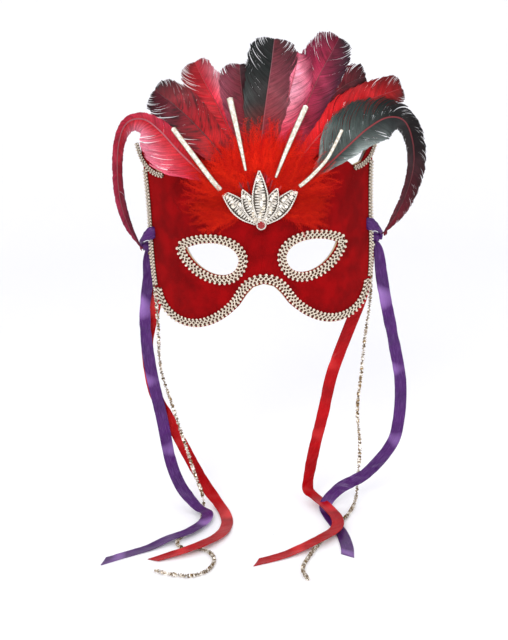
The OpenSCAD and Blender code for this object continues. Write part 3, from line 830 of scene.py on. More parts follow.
    def layer(self, inner: float, outer: float, fine: int = 8, rings: int = 40, puff: float = 0.0) -> Shape:
        """One whole layer of the mask as a closed skin.

        Args:
            inner: its back, in mm out of the inside surface.
            outer: its front.
            fine: samples for each outline step.
            rings: rings from the eye to the rim.
            puff: how far the front rolls over at its edges, in mm.

        Returns:
            Front and back grids of both halves, with walls round the eyes and the rim, welded at the
            centre line, painted with "lay" in mm on the flat front.
        """
        flat = self.half_grid(fine, rings)
        edge = np.minimum(np.linspace(0, 1, rings), np.linspace(1, 0, rings))[:, None] * rings
        roll = puff * (1 - ease(edge / 3)) * np.ones(flat.shape[:2])
        halves = []
        for side in Side:
            placed = flat * np.array([side.value, 1.0])
            front, back = self.skin(placed, outer - roll), self.skin(placed, inner)
            n, m = flat.shape[:2]
            size = n * m
            faces = grid_faces(n, m, ring=True)
            on_line = np.abs(flat[-1, :, 0]) < 1e-9
            k, k2 = ring_steps(m)
            wall_eye = np.stack([k, k2, size + k2, size + k], -1)
            far = (n - 1) * m
            open_rim = ~(on_line & on_line[k2])
            wall_rim = np.stack([far + k2, far + k, size + far + k, size + far + k2], -1)[open_rim]
            blocks = [faces[:, ::-1], faces + size, wall_eye, wall_rim]
            if side is Side.RIGHT:
                blocks = [block[:, ::-1] for block in blocks]
            points = np.concatenate([front.reshape(-1, 3), back.reshape(-1, 3)])
            lay = np.zeros_like(points)
            lay[:, :2] = np.concatenate([placed.reshape(-1, 2)] * 2)
            halves.append(Shape(points, blocks, {"lay": lay}))
        return joined(halves).welded().turned_out()

    def slit(self) -> tuple[float, float, float]:
        """The tie slit's x, y and turn in radians, for the right side."""
        turn = np.arcsin(self.half_w / self.wrap_r) - self.slit_inset / self.wrap_r
        x = self.wrap_r * np.sin(turn)
        return x, float(self.inside_y(np.array(x), np.array(self.slit_z))), turn


FACE = Face()


@dataclass
class MaskBody:
    """Velvet over a moulded card shell, with a felt lining, and a slit for the ties near each side."""

    velvet_roll: float = 0.35
    lining_roll: float = 0.1

    def cut_slits(self, piece: bpy.types.Object) -> None:
        """Cuts both tie slits through a layer and applies the cut to its mesh."""
        x, y, turn = FACE.slit()
        corners = np.array([[a, b, c] for a in (-0.5, 0.5) for b in (-0.5, 0.5) for c in (-0.5, 0.5)])
        sides = [[0, 1, 3, 2], [4, 6, 7, 5], [0, 4, 5, 1], [2, 3, 7, 6], [0, 2, 6, 4], [1, 5, 7, 3]]
        boxes = []
        for side in Side:
            c, s = np.cos(side.value * turn), np.sin(side.value * turn)
            spin = np.array([[c, s, 0], [-s, c, 0], [0, 0, 1]])
            placed = (corners * np.array(FACE.slit_size)) @ spin + [side.value * x, y, FACE.slit_z]
            boxes.append(Shape(placed, [np.array(sides)]).turned_out())
        shape = joined(boxes)
        mesh = bpy.data.meshes.new("slit_cutter")
        mesh.from_pydata((shape.points * MM).tolist(), [], shape.faces[0].tolist() + shape.faces[1].tolist())
        cutter = bpy.data.objects.new("slit_cutter", mesh)
        bpy.context.scene.collection.objects.link(cutter)
        cut = piece.modifiers.new("slits", "BOOLEAN")
        cut.operation, cut.object, cut.solver = "DIFFERENCE", cutter, "EXACT"
        bpy.context.view_layer.update()
        done = bpy.data.meshes.new_from_object(piece.evaluated_get(bpy.context.evaluated_depsgraph_get()))
        piece.modifiers.clear()
        piece.data = done
        bpy.data.objects.remove(cutter)
        bpy.data.meshes.remove(mesh)

    def build(self) -> None:
        """Makes the velvet and the lining, and dresses the shell that stays."""
        skin = FACE.layer(FACE.velvet_in, FACE.front, puff=self.velvet_roll)
        velvet = make_piece("velvet_skin", skin, VELVET)
        self.cut_slits(velvet)
        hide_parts("velvet_cover")
        inside = FACE.layer(0.0, FACE.lining_t, fine=9, rings=48, puff=self.lining_roll)
        lining = make_piece("felt_lining", inside, LINING)
        self.cut_slits(lining)
        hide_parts("face_lining")
        for node, finish in (("mask_shell", CARD), ("feather_pad", RED_FELT)):
            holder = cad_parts[node]
            holder.data.materials.clear()
            holder.data.materials.append(finish.material())


# ---- Gimp braid ----


@dataclass
class GimpBraid:
    """Gimp braid: two foil cords that weave over each other in loops along both edges, on core threads."""

    path: Array
    width: float
    name: str
    node: str
    mirrored: bool = False
    closed: bool = False
    cord_r: float = 0.56
    pitch: float = 6.6
    out: float = 1.0
    loop_share: float = 0.17
    core_r: float = 0.46
    samples: int = 28

    def line(self) -> tuple[Array, Array]:
        """The band's middle line every 0.25 mm, and its leftward direction, both as x and z.

        Returns:
            The outline moved by half the width along its left-hand normals, which are smoothed over
            about 3 mm so that the band turns round corners.
        """
        path = self.path * MIRROR if self.mirrored else self.path
        if self.closed:
            path = np.concatenate([path, path[:1]])
        fine = evenly(path, 0.25)
        if self.closed:
            fine = fine[:-1]
        mode = "wrap" if self.closed else "edge"
        kernel = np.hanning(17)[1:-1]
        kernel /= kernel.sum()
        pad = len(kernel) // 2
        ahead = np.roll(fine, -1, 0) - np.roll(fine, 1, 0) if self.closed else np.gradient(fine, axis=0)

        def softened(rows: Array) -> Array:
            """Rows smoothed by the kernel along the band."""
            return np.stack([np.convolve(np.pad(row, pad, mode=mode), kernel, "valid") for row in rows.T], -1)

        soft = unit(softened(unit(ahead)))
        left = np.stack([-soft[:, 1], soft[:, 0]], -1)
        if self.mirrored:
            left = -left
        return softened(fine + left * self.out * (self.width / 2 + 0.2)), left

    def strand(self, across: Array, rise: float | Array, place: Array, radius: float | Array,
               sides: int) -> Shape:
        """One cord of the braid.

        Args:
            across: its offset from the middle line in mm, for each sample.
            rise: its height over the velvet.
            place: mm along the middle line.
            radius: the cord's radius.
            sides: points round it.

        Returns:
            A tube along the skin at those offsets.
        """
        middle, left = self.line()
        if self.closed:
            middle, left = np.concatenate([middle, middle[:1]]), np.concatenate([left, left[:1]])
        known = arc_length(middle)
        where = place % known[-1] if self.closed else np.clip(place, 0, known[-1])
        flat = at(middle, known, where) + across[:, None] * at(left, known, where)
        path = FACE.skin(flat, FACE.front + rise)
        return tube(path, radius, sides, loop=self.closed)

    def build(self) -> None:
        """Makes two cords at c = +-A sin(q), ahead by B sin(2q), which loops at each crest, crossing
        over and under by cos(q), thicker and higher by sin(q)^6 at the crests, over four dark cords."""
        middle, _ = self.line()
        total = arc_length(middle)[-1]
        if self.closed:
            total += np.linalg.norm(middle[0] - middle[-1])
        turns = max(1, round(total / self.pitch))
        q = np.linspace(0, 2 * np.pi * turns, turns * self.samples + 1)
        if self.closed:
            q = q[:-1]
        place = q / (2 * np.pi * turns) * total
        reach = self.width / 2 - self.cord_r - 0.1
        crest = np.sin(q) ** 6
        knob = self.cord_r * (0.86 + 0.6 * crest)
        looped = place + self.loop_share * total / turns * np.sin(2 * q)
        parts = []
        for hand in (1, -1):
            rise = self.cord_r + 0.35 + 0.4 * hand * np.cos(q) + 0.35 * crest
            parts.append(self.strand(hand * reach * np.sin(q), rise, looped, knob, 7))
        # Four dark core cords under the loops: painted shadow between them.
        wobble = 0.12 * np.sin(3 * q)
        core = [self.strand(lane * self.width + wobble, 0.4, place, self.core_r, 5)
                for lane in (-0.3, -0.1, 0.1, 0.3)]
        make_piece(self.name, joined(parts), GIMP, self.node)
        make_piece(f"{self.name}_core", joined(core), GIMP_SHADOW_CORE)


@dataclass
class Braiding:
    """All the gimp braid: round the eyes, along the lower edge, up the sides and on the upper corners."""

    wide: float = 7.4
    narrow: float = 4.0

    def build(self) -> None:
        """Makes every run of braid."""
        c = FACE.curves()
        eye = np.concatenate([span(c["eye_upper"], 90), span(c["eye_lower"], 90)])
        lower = np.concatenate([span(c["cheek"], 60), span(c["nostril"], 60), span(c["arch"], 40)])
        whole = np.concatenate([lower, np.array([[0.0, -FACE.arch_d]]), lower[::-1] * MIRROR])
        side_run = np.concatenate([bezier(c["side"], np.linspace(0.25, 1, 60))[:-1],
                                   bezier(c["side_low"], np.linspace(0, 0.96, 40))])
        corner = bezier(c["corner"], np.linspace(0, 1, 50))
        GimpBraid(whole, self.wide, "gimp_lower_edge", "lower_edge_trim", out=-1).build()
        for side in Side:
            runs: list[tuple[str, Array, float, dict[str, Any]]] = [
                ("eye", eye, self.wide, {"closed": True}),
                ("side", side_run, self.narrow, {"out": -1, "cord_r": 0.5, "pitch": 5.2}),
                ("corner", corner, self.narrow, {"out": -1, "cord_r": 0.42, "pitch": 4.4}),
            ]
            for name, path, width, rest in runs:
                GimpBraid(path, width, f"gimp_{name}_{side.word}", f"{name}_trim_{side.word}",
                          side is Side.LEFT, **rest).build()


# ---- Brooch and rays ----

PLUME_Z = 50.0
PLUME_Y = float(FACE.skin(np.array([0.0, PLUME_Z]), FACE.front)[1])


def lifted(stations: Sequence[Sequence[float]]) -> Array:
    """Stations with their lift, the second number, turned into y forward of the velvet under the plume."""
    rows = np.array(stations, float)
    rows[:, 1] = PLUME_Y - rows[:, 1]
    return rows


def facing_frames(path: Array) -> tuple[Array, Array, Array]:
    """Frames for a blade that shows its face to the front.

    Args:
        path: its middle line.

    Returns:
        Along; across, to the viewer's left of a blade that points up; and up, towards the front.
    """
    along = heading(path)
    across = unit(np.cross(TO_FRONT, along))
    return along, across, np.cross(along, across)


def rows_across(path: Array, across: Array, v: Array) -> Array:
    """Rows of points beside each point of a path, at v times the vector across."""
    return path[:, None, :3] + v[None, :, None] * across[:, None]


def sequin(radius: float, cup: float, sides: int = 10) -> tuple[Array, list[Array]]:
    """A thin dished disc with a hole's dimple.

    Args:
        radius: of its rim.
        cup: how far its middle sits below the rim.
        sides: points round it.

    Returns:
        Points and faces of both sides of it: rim, a ring at 0.55 of the radius and the middle, 0.12 mm thick.
    """
    angle = 2 * np.pi * np.arange(sides) / sides
    ring = np.stack([np.cos(angle), np.sin(angle), np.zeros(sides)], -1)
    thick = np.array([0, 0, 0.06])
    rim, inner = ring * radius, ring * (radius * 0.55) - [0, 0, cup * 0.8]
    dish = np.concatenate([rim, inner, [[0, 0, -cup]]])
    j, j2 = ring_steps(sides)
    n = 2 * sides + 1
    quads = np.stack([j, j2, sides + j2, sides + j], -1)
    fan = np.stack([sides + j, sides + j2, np.full(sides, 2 * sides)], -1)
    wall = np.stack([j2, j, n + j, n + j2], -1)
    faces = [quads, quads[:, ::-1] + n, wall, fan, fan[:, ::-1] + n]
    return np.concatenate([dish + thick, dish - thick]), faces


@dataclass
class LotusLeaf:
    """One leaf of the brooch: a corded outline round a tulle ground filled with zigzag cord and sequins."""

    name: str
    foot: tuple[float, float]
    tip: tuple[float, float]
    lifts: tuple[float, float]
    width: float
    seed: int
    ground_share: float = 0.92

    def stations(self) -> Array:
        """Middle line and half width of the leaf, from its foot to its tip."""
        (fx, fz), (tx, tz), (fl, tl) = self.foot, self.tip, self.lifts
        share = np.array([0, 0.25, 0.5, 0.75, 1.0])
        half = np.array([1.2, self.width * 0.42, self.width / 2, self.width * 0.33, 0.4])
        line = [fx + share * (tx - fx), fl + share * (tl - fl), fz + share * (tz - fz)]
        return lifted(np.stack([*line, half], -1))

    def build(self) -> None:
        """Makes a ground whose edge follows the half width, a cord round that edge, a zigzag whose offset
        goes from edge to edge with the mm along, and sequins near the middle line."""
        path = smooth(self.stations(), 14)
        _, across, up = facing_frames(path)
        half = path[:, 3:4]
        v = np.linspace(-1, 1, 9)
        dome = (0.5 * (1 - v ** 2))[None, :, None] * up[:, None]
        top = rows_across(path, half * across * self.ground_share, v) + dome + 0.1 * up[:, None]
        rings = np.concatenate([top, top[:, ::-1] - 0.5 * up[:, None]], axis=1)
        ground = swept(rings, laid(rings))
        edge_l = path[:, :3] + across * half
        edge_r = path[:, :3] - across * half
        rim = evenly(np.concatenate([edge_l, edge_r[::-1], edge_l[:1]]), 0.35)[:-1]
        wave = 0.25 * np.sin(arc_length(rim) * 2 * np.pi / 1.9)
        centre = path[:, :3].mean(0)
        rim = rim + unit(rim - centre) * wave[:, None] + np.array([0, -0.45, 0])
        outline = tube(rim, 0.55, 7, loop=True)
        length = arc_length(path)
        n = int(length[-1] / 1.15)
        s = np.linspace(1.0, length[-1] - 2.2, n * 6)
        sway = np.arcsin(np.sin(np.linspace(0, np.pi * n, n * 6))) * 2 / np.pi * 0.8
        mid, side, lift = at(path, length, s), at(across, length, s), at(up, length, s)
        high = 0.85 + 0.1 * np.cos(3 * sway)
        zig = tube(mid[:, :3] + side * (sway * mid[:, 3])[:, None] + lift * high[:, None], 0.4, 6)
        draw = np.random.default_rng(self.seed)
        k = max(6, int(length[-1] / 2.6))
        s = np.linspace(2.0, length[-1] - 4.0, k)
        mid, side, lift = at(path, length, s), at(across, length, s), at(up, length, s)
        where = mid[:, :3] + side * (draw.uniform(-0.5, 0.5, k) * mid[:, 3])[:, None] + lift * 1.45
        tilt = unit(lift + draw.normal(0, 0.3, (k, 3)))
        a = unit(np.cross(tilt, side))
        points, faces = sequin(1.35, 0.35)
        discs = copies(points, faces, where, np.stack([a, np.cross(tilt, a), tilt], 1))
        discs.paint = laid(discs.points)
        make_piece(self.name, joined([outline, zig]), LACE, f"brooch_{self.name}")
        # The dark ground is painted shadow between the cords of the leaf.
        make_piece(f"{self.name}_ground", ground, LACE_SHADOW_GROUND)
        make_piece(f"{self.name}_sequins", discs, LACE_FOIL, soft=False)


@dataclass
class Brooch:
    """The lotus brooch: five leaves over a crescent backing, with a cut red stone at its foot."""

    height: float = 43.0
    width: float = 58.0
    foot_z: float = 28.0
    gem_d: float = 6.0
    gem_lift: float = 6.4
    gem_t: float = 2.2

    def backing(self) -> None:
        """A crescent of tulle edged and filled with cord, which follows the velvet below the leaves."""
        tx, tz, foot = self.width / 2, self.foot_z + 29, self.foot_z
        known = np.linspace(0, 1, 90)
        low = bezier([(6 - tx, tz - 8), (-12, foot - 3), (12, foot - 3), (tx - 6, tz - 8)], known)
        high = bezier([(8 - tx, tz - 6), (-12, foot + 7), (12, foot + 7), (tx - 8, tz - 6)], known)
        v = np.linspace(0, 1, 7)[None, :, None]
        flat = low[:, None] * (1 - v) + high[:, None] * v
        base = FACE.front + 0.3
        rings = np.concatenate([FACE.skin(flat, base + 0.6), FACE.skin(flat, base)[:, ::-1]], axis=1)
        # The dark ground is painted shadow under the cords of the crescent.
        make_piece("brooch_ground", swept(rings, {}), LACE_SHADOW_GROUND)
        parts = [tube(FACE.skin(evenly(edge, 0.35), base + 0.8), 0.55, 7) for edge in (low, high)]
        q = np.linspace(0.01, 0.99, 420)
        share = 0.5 + 0.42 * np.arcsin(np.sin(q * np.pi * 46)) * 2 / np.pi
        flat = at(low, known, q) * (1 - share[:, None]) + at(high, known, q) * share[:, None]
        parts.append(tube(FACE.skin(flat, base + 0.95), 0.42, 6))
        make_piece("brooch_crescent", joined(parts), LACE, "brooch_backing")

    def gem(self) -> None:
        """A stone cut in rings of twelve facets, in a cupped setting with six claws."""
        r = self.gem_d / 2
        rows = [(0.2, 0.0, 0.0), (0.86, 0.1, 0.0), (1.0, 0.35, 0.5), (0.93, 0.6, 0.0), (0.72, 0.85, 0.5),
                (0.5, 1.0, 0.0)]
        k = np.arange(12)
        rings = []
        for share, height, turn in rows:
            angle = 2 * np.pi * (k + turn) / 12
            deep = np.full(12, -height * self.gem_t)
            rings.append(np.stack([r * share * np.cos(angle), deep, r * share * np.sin(angle)], -1))
        centre = np.array([0.0, PLUME_Y - self.gem_lift - 0.4, self.foot_z + 2])
        make_piece("cut_stone", swept(np.stack(rings) + centre, {}), STONE, "brooch_gem", soft=False)
        angle = np.linspace(0, 2 * np.pi, 60, endpoint=False)
        circle = np.stack([np.cos(angle), np.zeros(60), np.sin(angle)], -1)
        profile = [(1.0, 0.5), (r + 0.5, 0.45), (r + 0.8, 0.1), (r + 0.72, -0.3), (r + 0.3, -0.42),
                   (1.0, -0.35)]
        cup = np.stack([circle * (rad, 1, rad) + (0, y, 0) for rad, y in profile]) + centre
        parts = [swept(cup, laid(cup)), tube(circle * (r + 0.55) + centre + [0, -0.45, 0], 0.3, 7, loop=True)]
        hook = [(r + 0.6, 0.1), (r + 0.5, 0.9), (r * 0.98, 1.5), (r * 0.8, 1.75)]
        for turn in np.arange(6) / 6 * 2 * np.pi:
            c, s = np.cos(turn), np.sin(turn)
            claw = np.array([[c * a, -b, s * a] for a, b in hook])
            parts.append(tube(smooth(claw, 4) + centre, np.linspace(0.42, 0.28, 13), 6))
        make_piece("claw_setting", joined(parts), LACE, "gem_setting")

    def build(self) -> None:
        """Makes the backing, the leaves and the stone."""
        tip_x, tip_z, foot = self.width / 2, self.foot_z + 29, self.foot_z
        self.backing()
        LotusLeaf("leaf_centre", (0, foot + 4), (0, foot + self.height), (5.2, 10.5), 11.5, 5).build()
        for side in Side:
            s = side.value
            inner, outer = f"leaf_inner_{side.word}", f"leaf_outer_{side.word}"
            LotusLeaf(inner, (s * 3, foot + 5), (s * 13, tip_z), (3.8, 7.5), 10.5, 6 + s).build()
            LotusLeaf(outer, (s * 4, foot + 3), (s * tip_x, tip_z), (2.6, 6.0), 12, 12 + s).build()
        self.gem()


@dataclass
class Ray:
    """A ray of the brooch: flat sequins overlapped along a strip between two thin silver cords."""

    name: str
    route: list[tuple[float, float, float, float]]
    width: float = 4.0
    pitch: float = 0.9
    strip_share: float = 0.85

    def build(self) -> None:
        """Sequins tilted like shingles along the route, on a thin backing strip, with a cord at each edge."""
        stations = evenly(smooth(lifted(self.route), 20), 0.4)
        path, half = stations[:, :3], stations[:, 3:] * self.width / 2
        along, across, up = facing_frames(path)
        length = arc_length(path)
        v = np.array([-1, -0.5, 0, 0.5, 1.0])
        top = rows_across(path, across * half * self.strip_share, v)
        strip = swept(np.concatenate([top, top[:, ::-1] - 0.4 * up[:, None]], axis=1), {})
        s = np.arange(1.2, length[-1] - 1.0, self.pitch)
        columns = (path, across, up, along, half / self.width * 2)
        where, side, lift, ahead, size = (at(k, length, s) for k in columns)
        draw = np.random.default_rng(len(self.name))
        tilt = unit(lift - 0.26 * ahead + 0.05 * draw.normal(size=lift.shape))
        a = unit(np.cross(side, tilt))
        points, faces = sequin(self.width / 2 - 0.3, 0.25, 12)
        discs = copies(points, faces, where + lift * 0.45, np.stack([side, a, tilt], 1) * size[..., None])
        make_piece(self.name + "_sequins", joined([strip, discs]), RAY_FOIL, self.name)
        edges = [tube(path + k * across * (half - 0.25) + up * 0.4, 0.22, 6) for k in (-1, 1)]
        make_piece(self.name + "_edges", joined(edges), RAY_CORD)


def build_rays() -> None:
    """Makes the four rays, two from the tips of the outer leaves and two between the leaves."""
    routes = {
        "outer_left": [(-29.5, 12, 58.5, 1), (-36, 14.6, 67, 1), (-49, 14.6, 86, 1), (-62, 14.6, 105, 1)],
        "inner_left": [(-10, 14.4, 72, 0.5), (-13, 14.6, 90, 0.8), (-16, 14.6, 107, 1),
                       (-19.5, 14.6, 125, 1.2)],
        "inner_right": [(12, 14.4, 66, 0.5), (19, 14.6, 82, 0.8), (27, 14.6, 99, 1), (36, 14.6, 117, 1.1)],
        "outer_right": [(29.5, 12, 58.5, 0.8), (38, 14.6, 65.5, 0.8), (51, 14.6, 79, 0.7),
                        (62, 14.6, 99, 0.7)],
    }
    for name, route in routes.items():
        Ray(f"ray_{name}", route).build()


# ---- Plume ----


@dataclass(frozen=True)
class Dye:
    """The colours of one side of a feather, from its foot to its tip, as hex codes in a row."""

    inner: str
    outer: str

    def paint(self, t: Array, q: Array) -> Array:
        """Colour at share t along the feather and q across the vane.

        Args:
            t: 0 at the foot to 1 at the tip.
            q: 0 at the quill to 1 at the edge.

        Returns:
            Linear colours: each row of dyes is read along t, then inner and outer are blended by q.
        """
        rows = []
        for codes in (self.inner, self.outer):
            table = np.stack([linear(code) for code in codes.split()])
            stops = np.linspace(0, 1, len(table))
            rows.append(np.stack([np.interp(t, stops, table[:, k]) for k in range(3)], -1))
        share = ease(q)[..., None]
        return rows[0] * (1 - share) + rows[1] * share


@dataclass
class Feather:
    """One dyed feather: a tapering quill with a vane of separate barbs on each side."""

    number: int
    route: list[tuple[float, float, float, float, float]]
    left: Dye
    right: Dye
    quill: tuple[str, str]
    mottle: float = 0.25
    mottle_dye: str = "#14060a"
    sweep: float = 1.15
    pitch: float = 0.42
    ragged: float = 0.06
    splits: float = 0.55
    dome: float = 0.6
    notch: float = 1.2
    camber: float = 1.6
    bare: float = 0.1
    painted_sheen: float = 0.12

    @property
    def name(self) -> str:
        """The CAD node that this feather stands for."""
        return f"feather_{self.number:02d}"

    def vane(self, side: int, path: Array) -> Shape:
        """The barbs of one side.

        Args:
            side: 1 for the viewer's left of a feather that points up, -1 for its right.
            path: the quill's line with the two half widths.

        Returns:
            Strips that leave the quill at s0 and reach the vane's edge at s1 = s0 + sweep x width: mm along
            is s0 + (s1 - s0)(0.7q + 0.3q^2) and mm across is w(s1)(1 - (1 - q)^1.45). The last barbs end on
            a dome instead, dome x width deep, that rises by notch on each side of the quill. Past the middle
            each barb leans to the centre of its clump, so the edge splits between clumps.
        """
        draw = np.random.default_rng(100 * self.number + side)
        along, across, up = facing_frames(path)
        length = arc_length(path)
        total = length[-1]
        width = path[:, 3] if side > 0 else path[:, 4]
        s0 = np.arange(self.bare * total, total * 0.995, self.pitch)
        s0 = s0 + draw.normal(0, 0.08, len(s0))
        reach = np.interp(s0, length, width)
        s1 = s0 + self.sweep * np.maximum(reach, 2.0)
        for _ in range(3):
            s1 = s0 + self.sweep * np.maximum(np.interp(s1, length, width), 1.5)
        blunt = float(np.interp(total - 8, length, width))
        dome = self.dome * blunt
        turn = np.clip((s0 - total) / (self.sweep * blunt + dome) + 1, 0, 1) * np.pi / 2
        rounded = total - dome * (1 - np.sin(turn)) + self.notch * np.sin(2 * turn)
        s1 = np.where(turn > 0, rounded, np.minimum(s1, total - dome))
        w1 = np.where(turn > 0, blunt * np.cos(turn) ** 0.8, np.interp(s1, length, width))
        w1 = w1 * (1 + self.ragged * draw.uniform(-1.0, 0.35, len(s1)))
        w1 = w1 * (1 + 0.05 * ripple(s0, self.number * 7 + side, 9.0))
        gaps = np.cumsum(draw.uniform(5, 17, 80))
        clump = np.searchsorted(gaps, s0)
        middle = np.concatenate([[0.0], gaps])[clump] * 0.5 + gaps[np.minimum(clump, 79)] * 0.5
        pull = (draw.uniform(0, 1, 81) ** 2.2)[clump] * self.splits * 0.6
        rise = draw.uniform(-0.8, 0.8, 81)[clump]
        q = np.linspace(0, 1, 9)[None, :]
        mm_along = s0[:, None] + (s1 - s0)[:, None] * (0.7 * q + 0.3 * q ** 2)
        lean = np.clip((q - 0.45) / 0.55, 0, 1) ** 1.7 * (pull * (1 - 0.8 * np.sin(turn)))[:, None]
        mm_along = mm_along + lean * (middle - s0)[:, None] * 0.75
        mm_across = w1[:, None] * (1 - (1 - q) ** 1.45)
        over = np.maximum(mm_along - total, 0)[..., None]
        reading = np.minimum(mm_along, total)
        base, tang, out, face = (at(k[:, :3], length, reading) for k in (path, along, across, up))
        share = mm_across / np.maximum(width.max(), 1.0)
        lift = -self.camber * share ** 2 + rise[:, None] * np.clip(q - 0.5, 0, 1) ** 2 * 3.0
        lift = lift + 0.12 * draw.normal(size=(len(s0), 1)) * q
        line = base + over * tang + side * mm_across[..., None] * out + lift[..., None] * face
        ahead = unit(np.gradient(line, axis=1))
        edge = unit(np.cross(face, ahead))
        tilt = draw.normal(0.22, 0.12, (len(s0), 1, 1))
        taper = (1 - 0.55 * q ** 3.5)[..., None]
        half = (edge + tilt * face) * 0.5 * self.pitch * 1.5 * taper
        points = np.stack([line - half, line + half], 2)
        n, m = len(s0), q.shape[1]
        faces = grid_faces(n * m, 2)
        faces = faces[(faces[:, 0] // 2) % m != m - 1][:, ::-1]
        t = np.clip(mm_along / total, 0, 1)
        tint = (self.left if side > 0 else self.right).paint(t, np.broadcast_to(q, t.shape))
        blotch = (ripple(mm_along + 0.6 * mm_across, self.number, 23.0, 4)
                  + ripple(mm_across * 1.7 - mm_along, 40 + self.number, 11.0))
        amount = (np.clip(blotch * 0.9, 0, 1) * self.mottle)[..., None]
        tint = tint * (1 - amount) + linear(self.mottle_dye) * amount
        uneven = 0.1 * ripple(s0, 90 + self.number, 5.0)[:, None, None]
        tint = tint * (1 + draw.normal(0, 0.16, (n, 1, 1)) + uneven)
        # Painted sheen: slow streaks along the barbs where the dye is lightened.
        painted_sheen_amount = np.clip(ripple(mm_along * 0.8 + 9 * q, 300 + self.number, 31.0), 0, 1)[..., None] * self.painted_sheen
        tint = np.clip(tint * (1 + 2.5 * painted_sheen_amount) + painted_sheen_amount * 0.1, 0.002, 1)
        return Shape(points.reshape(-1, 3), [faces], {"tint": np.repeat(tint.reshape(-1, 3), 2, axis=0)})

    def build(self) -> None:
        """Makes the quill and both vanes as one feather."""
        path = evenly(smooth(lifted(self.route), 12), 0.8)
        length = arc_length(path)
        share = length / length[-1]
        shaft = tube(path, 0.72 * (1 - share) ** 0.8 + 0.14, 7)
        foot, tip = linear(self.quill[0]), linear(self.quill[1])
        ring = np.repeat(share, 7)
        mix = np.concatenate([ring, [0.0, 1.0]])[:, None]
        shaft.paint = {"tint": foot * (1 - mix) + tip * mix}
        vane = joined([self.vane(1, path), self.vane(-1, path)])
        make_piece(f"{self.name}_vane", vane, FEATHER, self.name)
        make_piece(f"{self.name}_quill", shaft, QUILL)


